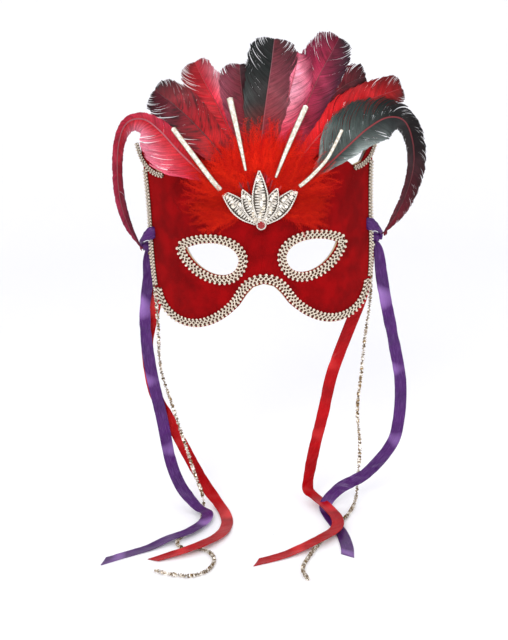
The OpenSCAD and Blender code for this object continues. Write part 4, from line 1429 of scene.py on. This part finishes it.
def plume() -> list[Feather]:
    """The eleven feathers, from the viewer's left curl to the right curl."""
    red = ("#8a0c14", "#a01420")
    return [
        Feather(1, [(-12, 1.9, 47, 0, 0), (-28, 4, 58, 0, 0), (-45, 7, 73, 8, 5), (-60, 9, 89, 21, 9),
                    (-72, 7, 103, 20, 8), (-84, 3, 112, 12, 5), (-97, -4, 110, 8, 4), (-105, -12, 97, 5, 4),
                    (-109, -19, 75, 4, 4), (-109, -24, 50, 4, 4), (-104, -27, 28, 3, 3),
                    (-95, -29, 10, 0, 0)],
                Dye("c00c14 c81020 cc1828 a80c20 780c24 5c0c2c",
                    "c00c14 dc3858 f08ca4 8c1028 580c28 40081c"),
                Dye("b80c10 c01018 b4102c a00c28 880c2c 701030",
                    "a80c10 b01020 b41838 a41c38 982040 802040"),
                ("#c8606c", "#501020"), painted_sheen=0.12),
        Feather(2, [(-9, 1.9, 48, 0, 0), (-18, 5.5, 68, 4, 4), (-32, 6.5, 90, 12, 11),
                    (-48, 6.5, 109, 17, 15),
                    (-60, 5, 121, 18, 16), (-70, 2, 129, 15, 13), (-75, 0, 133, 9, 8)],
                Dye("c80c10 c40c10 b00c14 6c0a1c 4c0a1c",
                    "c00c10 b40c14 9c1028 48081c 2c0410"),
                Dye("c80c10 c80c10 bc0c14 981020 4c0814",
                    "c00c10 c00c10 b80c14 7c101c 2c0610"),
                ("#801820", "#3c0810"), mottle=0.8, splits=0.7),
        Feather(3, [(-6.6, 1.9, 49, 0, 0), (-11, 4, 72, 5, 5), (-19, 5, 96, 11, 11), (-28, 5, 118, 14, 14),
                    (-37, 3.5, 136, 17, 13), (-42, 1, 147, 13, 9), (-44, 0, 152, 7, 4)],
                Dye("c80c10 c80c14 c00818 c00c1c 8c0814",
                    "c00c10 b80814 a80818 b01020 60060e"),
                Dye("d00c10 d01018 d81c34 d42038 a00c1c",
                    "c81014 d42030 ee8c9c f0a0b0 8c1424"),
                red, mottle=0.35),
        Feather(4, [(-4.3, 1.9, 49.5, 0, 0), (-5, 3, 74, 5, 5), (-10, 3.5, 98, 10, 10), (-17, 3, 120, 14, 13),
                    (-22, 2, 134, 12, 11), (-25, 1, 141, 5, 5)],
                Dye("c00c0c ac0c0c 900c10 780a10", "b80c0c 980c0e 7c0a10 600810"),
                Dye("c80c0c ac0c0c 900c10 780a10", "c00c0c 980c10 780a10 580810"),
                red, mottle=0.45),
        Feather(5, [(-2, 2.8, 50, 0, 0), (-3, 5.2, 76, 5, 5), (-7, 6.5, 102, 12, 10), (-10, 6.5, 126, 16, 12),
                    (-11, 5.5, 142, 15, 11), (-11, 4.5, 149, 9, 5)],
                Dye("c00c10 b00c14 8c1420 741c2c 581420",
                    "b80c10 a80c18 9c2434 9c485c 682030"),
                Dye("b80c10 980c14 5c101a 3c0e18 300a14",
                    "a80c10 800c14 440a12 280810 20060c"),
                ("#a01018", "#401018"), mottle=0.45),
        Feather(6, [(0.3, 3.8, 50, 0, 0), (1, 7.6, 76, 6, 6), (4, 9.2, 102, 13, 13), (8, 9.5, 126, 17, 17),
                    (12, 8.5, 147, 18, 18), (14, 7, 160, 17, 17), (15, 6, 166, 13, 12)],
                Dye("b80c0c b01010 7c1410 2c2422 141c1a 0c1412",
                    "b00c0c 981010 5c2420 3c4240 18201e 060c0c"),
                Dye("c00c10 b41014 a02028 8c3c44 7c3440 5c1c24",
                    "b80c10 a81018 8c2028 703840 5c2430 300c14"),
                ("#a01c20", "#7c4850"),
                mottle=0.4, splits=0.85, painted_sheen=0.12),
        Feather(7, [(2.6, 2.8, 50, 0, 0), (7, 5.8, 74, 5, 5), (14, 8, 98, 11, 10), (22, 8, 120, 14, 13),
                    (28, 7.8, 138, 15, 14), (31, 6.6, 149, 12, 11), (33, 5, 155, 5, 5)],
                Dye("cc0c10 d41018 dc2840 e87890 d85c78",
                    "c40c10 cc1020 c82040 d04868 a02844"),
                Dye("cc0c10 d41420 e04058 f4a4b8 d86880",
                    "c40c10 cc1424 c83450 c04060 80203c"),
                ("#b01018", "#a03c50"), mottle=0.3, painted_sheen=0.16),
        Feather(8, [(4.9, 1.9, 50, 0, 0), (14, 4.4, 74, 5, 5), (27, 6.2, 98, 11, 10), (38, 5.8, 120, 15, 14),
                    (48, 4.4, 140, 18, 16), (56, 2.2, 153, 18, 15), (60, 1, 160, 15, 12),
                    (63, -1, 165, 9, 6)],
                Dye("c80c10 c81020 c42038 c03858 a82044 600c24",
                    "c00c10 b81028 b42c48 cc5474 982048 500c24"),
                Dye("c00c10 b81020 a81830 a02444 801838 380818",
                    "b80c10 a01024 881030 58102c 340c24 180412"),
                ("#a81018", "#601830"),
                mottle=0.45, splits=0.75, painted_sheen=0.12),
        Feather(9, [(7.2, 1.9, 49.5, 0, 0), (19, 2.8, 74, 4, 4), (34, 3.3, 98, 9, 8), (48, 3, 116, 12, 10),
                    (62, 2, 128, 14, 10), (74, 0, 134, 12, 8), (82, -2, 136, 6, 4)],
                Dye("c00c10 8c1014 30201e 301418 6c0c1c 3c0810",
                    "b80c10 701414 12201c 30141a 7c1024 28060e"),
                Dye("c00c10 8c1414 24241f 380c14 600c1a 2c060e",
                    "b80c10 781816 303834 2c0c14 4c0a16 1c0408"),
                ("#a01018", "#3c0c14"),
                mottle=0.6, splits=0.8),
        Feather(10, [(9.6, 1.9, 48.5, 0, 0), (25, 4.3, 71, 4, 4), (44, 5, 93, 10, 10), (63, 5, 109, 13, 12),
                     (83, 3, 119, 13, 12), (99, 0, 124, 12, 12), (106, -2, 126, 11, 11),
                     (109, -3, 127, 8, 8)],
                Dye("d00c10 d80c10 e00c14 dc0c18 c00c14 74060c",
                    "c80c10 d81014 e82028 d41018 900a10 4c0406"),
                Dye("d00c10 d80c10 dc0a10 cc0810 b4080c 700508",
                    "c00c10 d00a10 c40810 ac080c 7c0608 400306"), ("#e03030", "#88101a"),
                mottle=0.1, splits=0.6, painted_sheen=0.1),
        # The pale grey stops in feather 11's dye, b4beb9, a0aca8 and 788480, are painted sheen on its
        # black-green barbs.
        Feather(11, [(12.4, 1.9, 47, 0, 0), (31, 4, 58, 0, 0), (50, 7, 72, 8, 4), (66, 9, 86, 22, 9),
                     (82, 8, 99, 23, 13), (97, 4, 106, 15, 15), (110, -2, 103, 9, 9), (117, -8, 89, 9, 6),
                     (119, -13, 70, 9, 5), (115, -17, 50, 8, 4), (107, -20, 32, 6, 3), (96, -23, 15, 0, 0)],
                Dye("980c10 40403c 4c5854 0c1210 180c10 500c1c 7c0c24",
                    "880c10 b4beb9 3c4844 060908 100a0c 3c0a14 640a1c"),
                Dye("980c10 2c3431 3c4844 161c1c 1c1416 3c0c18 540c1c",
                    "880c10 788480 a0aca8 2c3433 28181a 500c1c 600c20"), ("#a02028", "#2c0c14"),
                mottle=0.3, splits=0.95, ragged=0.09, painted_sheen=0.1),
    ]


@dataclass
class Marabou:
    """Marabou down in front of the quills: soft plumes that fan out and curl, each with fine side hairs."""

    tufts: int = 3
    strands: int = 400
    hairs: int = 34
    centre_z: float = 41.0
    spokes: tuple[float, float] = (-20, 200)
    starts: tuple[float, float] = (12, 36)
    reaches: tuple[float, float] = (16, 36)
    warm: str = "#ff2c0c"
    deep: str = "#c80a0a"

    def fan(self, tuft: int) -> Shape:
        """One piece of down.

        Args:
            tuft: which one, from the back to the front.

        Returns:
            Strands that leave a half ring round the brooch along its spokes, bend by a random curve and
            wave, and carry hairs that are thin triangles, longest at a third of the strand.
        """
        draw = np.random.default_rng(700 + tuft)
        n, m = self.strands, 9
        angle = np.radians(draw.uniform(*self.spokes, n))
        start = draw.uniform(*self.starts, n)
        reach = draw.uniform(*self.reaches, n) * (0.75 + 0.35 * np.sin(angle))
        q = np.linspace(0, 1, m)[None, :]
        bend = draw.normal(0, 0.5, (n, 1))
        wave = np.sin(q * draw.uniform(3, 9, (n, 1)) + draw.uniform(0, 6, (n, 1)))
        turn = angle[:, None] + bend * q + 0.25 * wave
        step = (reach / (m - 1))[:, None]
        x, z = ((k(angle) * start)[:, None] + np.cumsum(k(turn) * step, 1) - k(turn[:, :1]) * step
                for k in (np.cos, np.sin))
        z = self.centre_z + z
        forward = draw.uniform(0.4, 1.0, (n, 1)) * (2.0 + 2.6 * q * draw.uniform(0.2, 1.3, (n, 1)))
        high = ease((z - 44) / 14)
        low_y = FACE.skin(np.stack([x, z], -1), FACE.front + 0.4)[..., 1]
        out = ease((np.hypot(x, z - self.centre_z) - 20) / 18)
        y = (1 - high) * (low_y - forward * 0.8) + high * (PLUME_Y - 2.5 - out * (6 + tuft * 0.7 + forward))
        line = np.stack([x, y, z], -1)
        ahead = unit(np.gradient(line, axis=1))
        side = unit(np.cross(TO_FRONT, ahead))
        half = side * (0.22 * (1 - 0.8 * q))[..., None]
        stem = np.stack([line - half, line + half], 2).reshape(-1, 3)
        stem_faces = grid_faces(n * m, 2)
        stem_faces = stem_faces[(stem_faces[:, 0] // 2) % m != m - 1]
        h = self.hairs
        place = np.linspace(0.06, 1.0, h)[None, :] * (m - 1)
        low = np.minimum(place.astype(int), m - 2)
        share = (place - low)[..., None]
        rows = np.arange(n)[:, None]
        root = line[rows, low] * (1 - share) + line[rows, low + 1] * share
        go, out = ahead[rows, low], side[rows, low]
        hand = np.where(np.arange(h) % 2 == 0, 1.0, -1.0)[None, :, None]
        long = (draw.uniform(2.2, 5.2, (n, h)) * (1 - 0.55 * np.linspace(0, 1, h)))[..., None]
        aim = unit(go * draw.uniform(0.4, 1.4, (n, h, 1)) + hand * out
                   + TO_FRONT * draw.normal(0.15, 0.35, (n, h, 1)))
        tip = root + aim * long
        mid = root + aim * long * 0.5 + go * draw.normal(0, 0.3, (n, h, 1))
        wide = unit(np.cross(aim, TO_FRONT + 1e-3)) * 0.075
        hair = np.stack([root - wide, root + wide, mid + wide, tip, mid - wide], 2).reshape(-1, 3)
        first = np.arange(n * h)[:, None] * 5
        hair_faces = [first + np.array([[0, 1, 2, 4]]), first + np.array([[4, 2, 3]])]
        warm = draw.uniform(0, 1, (n, 1))
        fade = 1 - 0.35 * np.abs(np.cos(angle))[:, None]
        tint = (linear(self.warm) * warm + linear(self.deep) * (1 - warm)) * fade
        stem_tint = np.repeat(tint, 2 * m, axis=0) * 0.9
        hair_tint = np.clip(np.repeat(tint, 5 * h, axis=0) * 1.12, 0, 1)
        stems = Shape(stem, [stem_faces], {"tint": stem_tint})
        return joined([stems, Shape(hair, hair_faces, {"tint": hair_tint})])

    def build(self) -> None:
        """Makes every piece of down."""
        for tuft in range(self.tufts):
            make_piece(f"marabou_down_{tuft + 1}", self.fan(tuft), DOWN, "" if tuft else "marabou_puff")


# ---- Ties ----


@dataclass
class Ribbon:
    """A satin ribbon that hangs from its knot and lies on the table, cut off at a slant."""

    name: str
    side: Side
    finish: Satin
    route: list[tuple[float, float, float, float, float]]
    slant: float
    curl: float
    seed: int
    thick: float = 0.3
    flat_width: float = 10.0
    sway: float = 11.0
    sway_wave: float = 34.0
    drape_wave: float = 60.0
    wrinkle_wave: float = 26.0
    gather_len: float = 16.0
    cut_len: float = 14.0

    def path(self) -> Array:
        """The ribbon's middle line in the frame, with its turn and width, about every 1.2 mm."""
        stations = np.array(self.route, float)
        stations[:, :3] += roll_place(self.side)
        return evenly(smooth(stations, 16), 1.2)

    def build(self) -> None:
        """Makes the ribbon as a thin closed skin: across each point of the line, turned by its own angle,
        13 points in a shallow curve curl(v^2 - 0.33) that ripples along, most while it hangs, moved ahead by
        slant x v near the end for the cut, and kept above the table."""
        path = self.path()
        along = heading(path)
        length = arc_length(path)
        aloft = ease((path[:, 2] - TABLE_Z - 3) / 14)
        turn = np.radians(path[:, 3] + self.sway * aloft * ripple(length, self.seed + 5, self.sway_wave))
        flat = np.stack([np.cos(turn), np.sin(turn), np.zeros(len(path))], -1)
        across = unit(flat - (flat * along).sum(-1, keepdims=True) * along)
        up = np.cross(along, across)
        v = np.linspace(-1, 1, 13)
        half = path[:, 4] / 2
        drape = self.curl * (0.6 + 0.6 * ripple(length, self.seed, self.drape_wave))
        bow = drape[:, None] * (v[None, :] ** 2 - 0.33) * (half / 5)[:, None]
        wrinkle = (0.12 + 0.48 * aloft) * np.clip(length / 20, 0, 1)
        slanted = length[:, None] + 7 * v[None, :]
        bow = bow + wrinkle[:, None] * ripple(slanted, self.seed + 1, self.wrinkle_wave)
        gather = np.clip(1 - length / self.gather_len, 0, 1)[:, None]
        bow = bow + gather * 0.7 * np.cos(np.pi * 3 * v)[None, :]
        near_end = ease((length - (length[-1] - self.cut_len)) / self.cut_len)[:, None]
        ahead = self.slant * v[None, :] * half[:, None] * near_end
        centre = rows_across(path, half[:, None] * across, v) + ahead[..., None] * along[:, None]
        selvage = (0.5 + 0.22 * (np.abs(v) > 0.9)) * self.thick
        middle = centre + bow[..., None] * up[:, None]
        top = middle + selvage[None, :, None] * up[:, None]
        low = middle - selvage[None, :, None] * up[:, None]
        for skin, floor in ((top, TABLE_Z + 0.45), (low, TABLE_Z + 0.1)):
            skin[..., 2] = np.maximum(skin[..., 2], floor)
        rings = np.concatenate([top, low[:, ::-1]], axis=1)
        lay = laid(rings, length[:, None], np.concatenate([v, v[::-1]])[None, :] * 5)
        node = self.name.replace("satin", "ribbon")
        piece = make_piece(self.name, swept(rings, lay), self.finish, node, self.side.ties)


@dataclass
class SequinString:
    """A string of cup sequins that hangs from its knot and lies on the table."""

    side: Side
    route: list[tuple[float, float, float]]
    seed: int
    diameter: float = 3.6
    pitch: float = 1.45
    tilt: float = 0.42
    cup: float = 0.7

    def build(self) -> None:
        """Makes the cups, threaded along the string and each tipped a little, and the thread."""
        path = evenly(smooth(np.array(self.route, float) + roll_place(self.side), 16), 0.5)
        length = arc_length(path)
        side, _ = carried(path)
        along = heading(path)
        draw = np.random.default_rng(self.seed)
        s = np.arange(2.0, length[-1] - 0.5, self.pitch)
        where, a, ahead = at(path, length, s), at(side, length, s), at(along, length, s)
        axis = unit(ahead + draw.normal(0, self.tilt, ahead.shape))
        a = unit(np.cross(axis, np.cross(a, axis)))
        size = (1 - 0.12 * draw.uniform(size=len(s)))[:, None, None]
        points, faces = sequin(self.diameter / 2, self.cup, 10)
        cups = copies(points, faces, where, np.stack([a, np.cross(axis, a), axis], 1) * size)
        thread = tube(path, 0.35, 6)
        word, body = self.side.word, self.side.ties
        node = f"sequin_string_{word}"
        piece = make_piece(f"sequin_cups_{word}", cups, STRING_FOIL, node, body, soft=False)
        core = make_piece(f"string_thread_{word}", thread, STRING_THREAD, body=body)


def roll_place(side: Side) -> Array:
    """The middle of the roll that a side's knot turns on."""
    y = float(FACE.inside_y(np.array(FACE.half_w), np.array(FACE.slit_z))) + 6
    return np.array([side.value * (FACE.half_w + 5.5), y, FACE.slit_z - 13])


@dataclass
class TieLoop:
    """The gathered ribbon from a slit to the roll that the knot turns on."""

    side: Side
    knot_len: float = 7.0
    loop_r: float = 1.45
    bore_r: float = 1.62

    def pleated(self, path: Array, radius: Array, folds: int, seed: int, tall: float | Array = 1.0,
                sides: int = 30) -> Shape:
        """A gathered tube.

        Args:
            path: its centre line.
            radius: its mean radius at each point.
            folds: pleats round it.
            seed: which wrinkles to take.
            tall: how much taller than a round tube it is at each point.
            sides: points round it.

        Returns:
            A tube whose radius goes in and out with the pleats, which wander slowly along it.
        """
        side, up = carried(path)
        length = arc_length(path)[:, None]
        angle = 2 * np.pi * np.arange(sides)[None, :] / sides
        swing = 0.5 * ripple(length, seed, 14.0)
        wave = 1 + 0.2 * np.sin(folds * (angle + swing)) + 0.08 * ripple(length + 3 * angle, seed + 1, 5.0)
        r = (radius[:, None] * wave)[..., None]
        spread = r * (np.cos(angle)[..., None] * side[:, None] + np.sin(angle)[..., None] * up[:, None])
        spread[..., 2] *= np.broadcast_to(tall, (len(path),))[:, None]
        rings = path[:, None, :3] + spread
        return swept(rings, laid(rings, length, angle / (2 * np.pi) * 20))

    def build(self) -> None:
        """Makes the loop, its roll, and the knot that turns on it, wrapped round with a crossing band."""
        f, s = FACE, self.side.value
        slit_x, slit_y, turn = f.slit()
        edge_y = float(f.inside_y(np.array(f.half_w), np.array(f.slit_z)))
        roll = roll_place(Side.RIGHT)
        out, fwd = np.sin(turn), np.cos(turn)
        arm = self.knot_len / 2 + 0.15 + 1.2
        route = np.array([
            roll + [arm, 0, 0], roll + [arm, -3, 3.4], [f.half_w + 8.5, edge_y - 3, f.slit_z - 6.5],
            [f.half_w + 4.2, edge_y - 7.7, f.slit_z - 2], [slit_x + 4.4 * out, slit_y - 4.4 * fwd, f.slit_z],
            [slit_x, slit_y, f.slit_z], [slit_x - 2.5 * out, slit_y + 3 * fwd, f.slit_z],
            [f.half_w - 4.5, edge_y + 2, f.slit_z - 3], roll + [-arm, -1, 7], roll + [-arm, 0, 3],
            roll + [-arm, 0, 0]])
        mirror = np.array([s, 1.0, 1.0])
        path = evenly(smooth(route, 12), 0.5) * mirror
        share = np.linspace(0, 1, len(path))
        tall = 1 + 2.2 * np.exp(-((share - 0.43) / 0.15) ** 2)
        loop = self.pleated(path, np.full(len(path), self.loop_r), 7, 31 + s, tall)
        k = np.linspace(-1, 1, 25)
        roll_path = (roll + k[:, None] * np.array([arm + 1.2, 0, 0])) * mirror
        roll_r = np.where(np.abs(k) * (arm + 1.2) > self.knot_len / 2 + 0.1, 2.2, 1.4)
        spool = self.pleated(roll_path, roll_r, 6, 37 + s)
        word = self.side.word
        make_piece(f"gathered_loop_{word}", joined([loop, spool]), PURPLE_SATIN, f"tie_loop_{word}")
        self.knot(roll * mirror)

    def knot(self, centre: Array) -> None:
        """A tight knot round the roll: a creased barrel with two bands of ribbon that cross over it."""
        x = np.linspace(-0.5, 0.5, 30)
        angle = np.linspace(0, 2 * np.pi, 56, endpoint=False)
        a, b = np.meshgrid(x, angle, indexing="ij")
        r = 3.4 + 0.8 * np.cos(np.pi * a * 0.86) - 0.35 * np.abs(np.sin(3 * np.pi * a + 1.5 * np.sin(b)))
        r = r + 0.15 * ripple(b * 4 + a * 9, 51, 5.0)
        outer = np.stack([a * self.knot_len, r * np.cos(b), r * np.sin(b)], -1)
        inner = np.stack([a * self.knot_len, self.bore_r * np.cos(b), self.bore_r * np.sin(b)], -1)[::-1]
        rings = np.concatenate([outer, inner]) + centre
        lay = laid(rings, np.concatenate([b, b]) * 4, rings[..., 0] - centre[0])
        parts = [swept(rings, lay, loop=True)]
        t = np.linspace(0, 2 * np.pi, 70, endpoint=False)
        v = np.linspace(-1, 1, 7)
        for hand in (-1, 1):
            across = hand * 1.5 * np.cos(t)[:, None] + v[None, :] * 1.5
            rise = 4.25 + 0.25 * hand * np.sin(t)[:, None] - 0.3 * v[None, :] ** 2 - 0.06 * across ** 2
            top, low = (np.stack([across, r * np.cos(t)[:, None], r * np.sin(t)[:, None]], -1)
                        for r in (rise, rise - 0.4))
            rings = np.concatenate([top, low[:, ::-1]], axis=1) + centre
            lay = laid(rings, (t * 4.2)[:, None], np.concatenate([v, v[::-1]])[None, :] * 3)
            parts.append(swept(rings, lay, loop=True))
        word = self.side.word
        make_piece(f"satin_knot_{word}", joined(parts), PURPLE_SATIN, f"knot_{word}", self.side.ties)


def build_ties() -> None:
    """Makes both sets of ties; the routes start at the roll and lie on the table 234 mm below it."""
    SequinString(Side.LEFT, [
        (1, -2.7, -3.4), (3, -3, -14), (5, -3.4, -60), (5, -3.6, -103), (14, -3.6, -141), (23, -3.4, -177),
        (29, -1, -203), (33.5, 5, -222), (34, -5, -232), (31, -34, -232.2), (16, -62, -232.2),
        (20, -77, -232.2),
        (38, -83, -232.2), (46, -98, -232.2), (43, -116, -232.2), (31, -126, -232.2), (14, -122, -232.2),
        (1, -114, -232.2)], 11).build()
    SequinString(Side.RIGHT, [
        (-1, -2.7, -3.4), (-3, -3, -14), (-5, -3.4, -51), (-10, -3.6, -85), (-13, -3, -112), (-17, 0, -148),
        (-15, 4, -181), (-17, 4, -208), (-20, -3, -227), (-27, -22, -231.4), (-40, -50, -231),
        (-56, -78, -231.8),
        (-67, -102, -232.2), (-73, -122, -232.2), (-70, -140, -232.2)], 12).build()
    Ribbon("purple_satin_left", Side.LEFT, PURPLE_SATIN, [
        (0, 0, -3.4, 0, 4), (-1, 0, -12, 0, 7), (-1, 0, -26, 8, 9), (-5, 0, -50, -12, 9),
        (-6, 0, -74, -14, 10),
        (-3.5, 0, -108, 8, 10), (3, 0, -149, 4, 10), (8, 0, -187, 0, 10), (16, -2, -211, 15, 10),
        (29, -6, -228, 40, 10), (38, -17, -229.8, 12, 10), (36, -34, -230, -23, 10), (24, -52, -230, -45, 10),
        (9, -63.5, -229.8, -56, 10), (-6, -73, -232.8, -58, 10), (-21, -81, -233.6, -60, 10),
        (-41, -93, -233.6, -60, 10)], 0.9, 0.5, 21).build()
    Ribbon("red_satin_left", Side.LEFT, RED_SATIN, [
        (1, 2.6, -3.2, 0, 4), (3, 3, -12, 0, 8), (4, 3.4, -44, 4, 10), (-3, 3.6, -70, 10, 10),
        (-6, 3.8, -88, 8, 10), (-3, 3.6, -123, -6, 10), (6, 3.6, -145, -4, 10), (16, 4, -168, 0, 10),
        (27, 6, -194, 0, 10), (37, 9, -216, 10, 10), (46, 7, -230, 30, 10), (53, -12, -233, 16, 10),
        (55, -34, -233.6, -4, 10), (49, -60, -231, -28, 10), (29, -83, -229.8, -57, 10),
        (-2, -95, -233.4, -70, 8)], -0.8, 0.5, 22).build()
    Ribbon("purple_satin_right", Side.RIGHT, PURPLE_SATIN, [
        (0, 0, -3.4, 0, 4), (3, 0, -12, 0, 8), (5, 0, -31, 4, 10), (8, 0, -52, 8, 10), (14, 0, -86, 12, 10),
        (20, 0, -125, 0, 10), (18, 0, -160, -10, 10), (11, 0, -182, -12, 10), (-10, 0, -206, -6, 10),
        (-34, -1, -219, 0, 10), (-47, -8, -230.6, 15, 10), (-45, -28, -233.4, 12, 10),
        (-38, -58, -233.7, 10, 10),
        (-36, -84, -233.7, 0, 10), (-37, -101, -233.7, -3, 10)], 0.7, 0.5, 23).build()
    Ribbon("red_satin_right", Side.RIGHT, RED_SATIN, [
        (-1, 2.6, -3.2, 0, 4), (-4, 3, -12, 0, 8), (-7, 3.4, -31, 0, 10), (-12, 3.4, -52, -6, 10),
        (-21, 3.4, -74, -10, 10), (-32, 3.4, -101, -8, 10), (-39, 3.4, -121, -4, 10), (-46, 4, -151, 4, 10),
        (-53, 6, -178, 8, 10), (-59, 8, -206, 10, 10), (-61, 9, -222, 20, 10), (-55, 3, -227.6, 29, 10),
        (-47, -14, -228.6, 14, 10), (-40, -40, -228.8, 5, 10), (-43, -62, -228.8, -27, 10),
        (-61, -82, -229.2, -50, 10), (-84, -96, -232.6, -63, 10), (-108, -106, -233.6, -66, 10)],
        0.9, 0.5, 24).build()
    for side in Side:
        TieLoop(side).build()


# ---- Studio ----


@dataclass(frozen=True)
class Studio:
    """The table, the soft lights and the camera."""

    table_z: float = TABLE_Z
    camera: tuple[float, float, float] = (-8.5, -779.5, 135.0)
    look: tuple[float, float, float] = (-8.5, 0.0, -45.0)
    roll: float = 2.4
    lens: float = 57.7

    def place_camera(self) -> None:
        """Sets the camera at the viewing angle, rolled so that the mask's right side sits a little higher."""
        data = bpy.data.cameras.new("view_camera")
        data.lens, data.sensor_width = self.lens, 36.0
        data.clip_start, data.clip_end = 0.01, 50.0
        eye, look = np.array(self.camera) * MM, np.array(self.look) * MM
        ahead = unit(look - eye)
        right = unit(np.cross(ahead, [0, 0, 1.0]))
        up = np.cross(right, ahead)
        c, s = np.cos(np.radians(self.roll)), np.sin(np.radians(self.roll))
        right, up = right * c - up * s, right * s + up * c
        camera = bpy.data.objects.new("view_camera", data)
        turn = Matrix([[*row] for row in np.stack([right, up, -ahead], 1).tolist()]).to_4x4()
        camera.matrix_world = Matrix.Translation(Vector(eye.tolist())) @ turn
        bpy.context.scene.collection.objects.link(camera)
        bpy.context.scene.camera = camera

    def softbox(self, name: str, place: tuple[float, float, float], size: float, power: float) -> None:
        """A square soft light at a place in metres, aimed at the mask."""
        data = bpy.data.lights.new(name, "AREA")
        data.shape, data.size, data.energy = "SQUARE", size, power
        light = bpy.data.objects.new(name, data)
        aim = Vector((0, 0, -0.02)) - Vector(place)
        turn = aim.to_track_quat("-Z", "Y").to_matrix().to_4x4()
        light.matrix_world = Matrix.Translation(Vector(place)) @ turn
        bpy.context.scene.collection.objects.link(light)

    def build(self) -> None:
        """Makes the table, which curves up into a round paper wall, the even light and the soft boxes."""
        flat_r, wall_r, wall_h, sides = 1.5, 2.4, 1.3, 72
        bend = np.linspace(0, np.pi / 2, 24)
        curve_r = wall_r - flat_r
        radius = np.concatenate([[0.001, 0.3, 0.8, 1.2], flat_r + curve_r * np.sin(bend), [wall_r]]) / MM
        height = np.concatenate([[0.0] * 4, curve_r * (1 - np.cos(bend)), [wall_h]]) / MM + self.table_z
        angle = 2 * np.pi * np.arange(sides) / sides
        rings = np.stack([radius[:, None] * np.cos(angle), radius[:, None] * np.sin(angle),
                          np.broadcast_to(height[:, None], (len(radius), sides))], -1)
        faces = grid_faces(len(radius), sides, ring=True)[:, ::-1]
        mesh = bpy.data.meshes.new("table")
        mesh.from_pydata((rings.reshape(-1, 3) * MM).tolist(), [], faces.tolist())
        mesh.polygons.foreach_set("use_smooth", np.ones(len(faces), bool))
        table = bpy.data.objects.new("table", mesh)
        paper = Finish("White paper", "card", "#fbfbfc", roughness=0.9, specular=0.1)
        mesh.materials.append(paper.material())
        bpy.context.scene.collection.objects.link(table)
        world = bpy.data.worlds.new("studio")
        world.use_nodes = True
        sky = world.node_tree.nodes["Background"]
        sky.inputs["Color"].default_value = rgba("#fbfbff")
        sky.inputs["Strength"].default_value = 1.0
        bpy.context.scene.world = world
        bpy.context.scene.view_settings.view_transform = "Standard"
        self.softbox("key_box", (-0.35, -1.35, 0.75), 0.6, 9)
        self.softbox("fill_box", (0.9, -1.0, 0.35), 0.8, 3)


def main() -> None:
    """Builds the mask and its studio, in order."""
    logging.basicConfig(level=logging.INFO, format="%(name)s %(message)s")
    studio = Studio()
    studio.place_camera()
    build_ties()
    MaskBody().build()
    Braiding().build()
    Brooch().build()
    build_rays()
    for feather in plume():
        feather.build()
    Marabou().build()
    studio.build()
    bpy.context.view_layer.update()


if __name__ == "__main__":
    main()
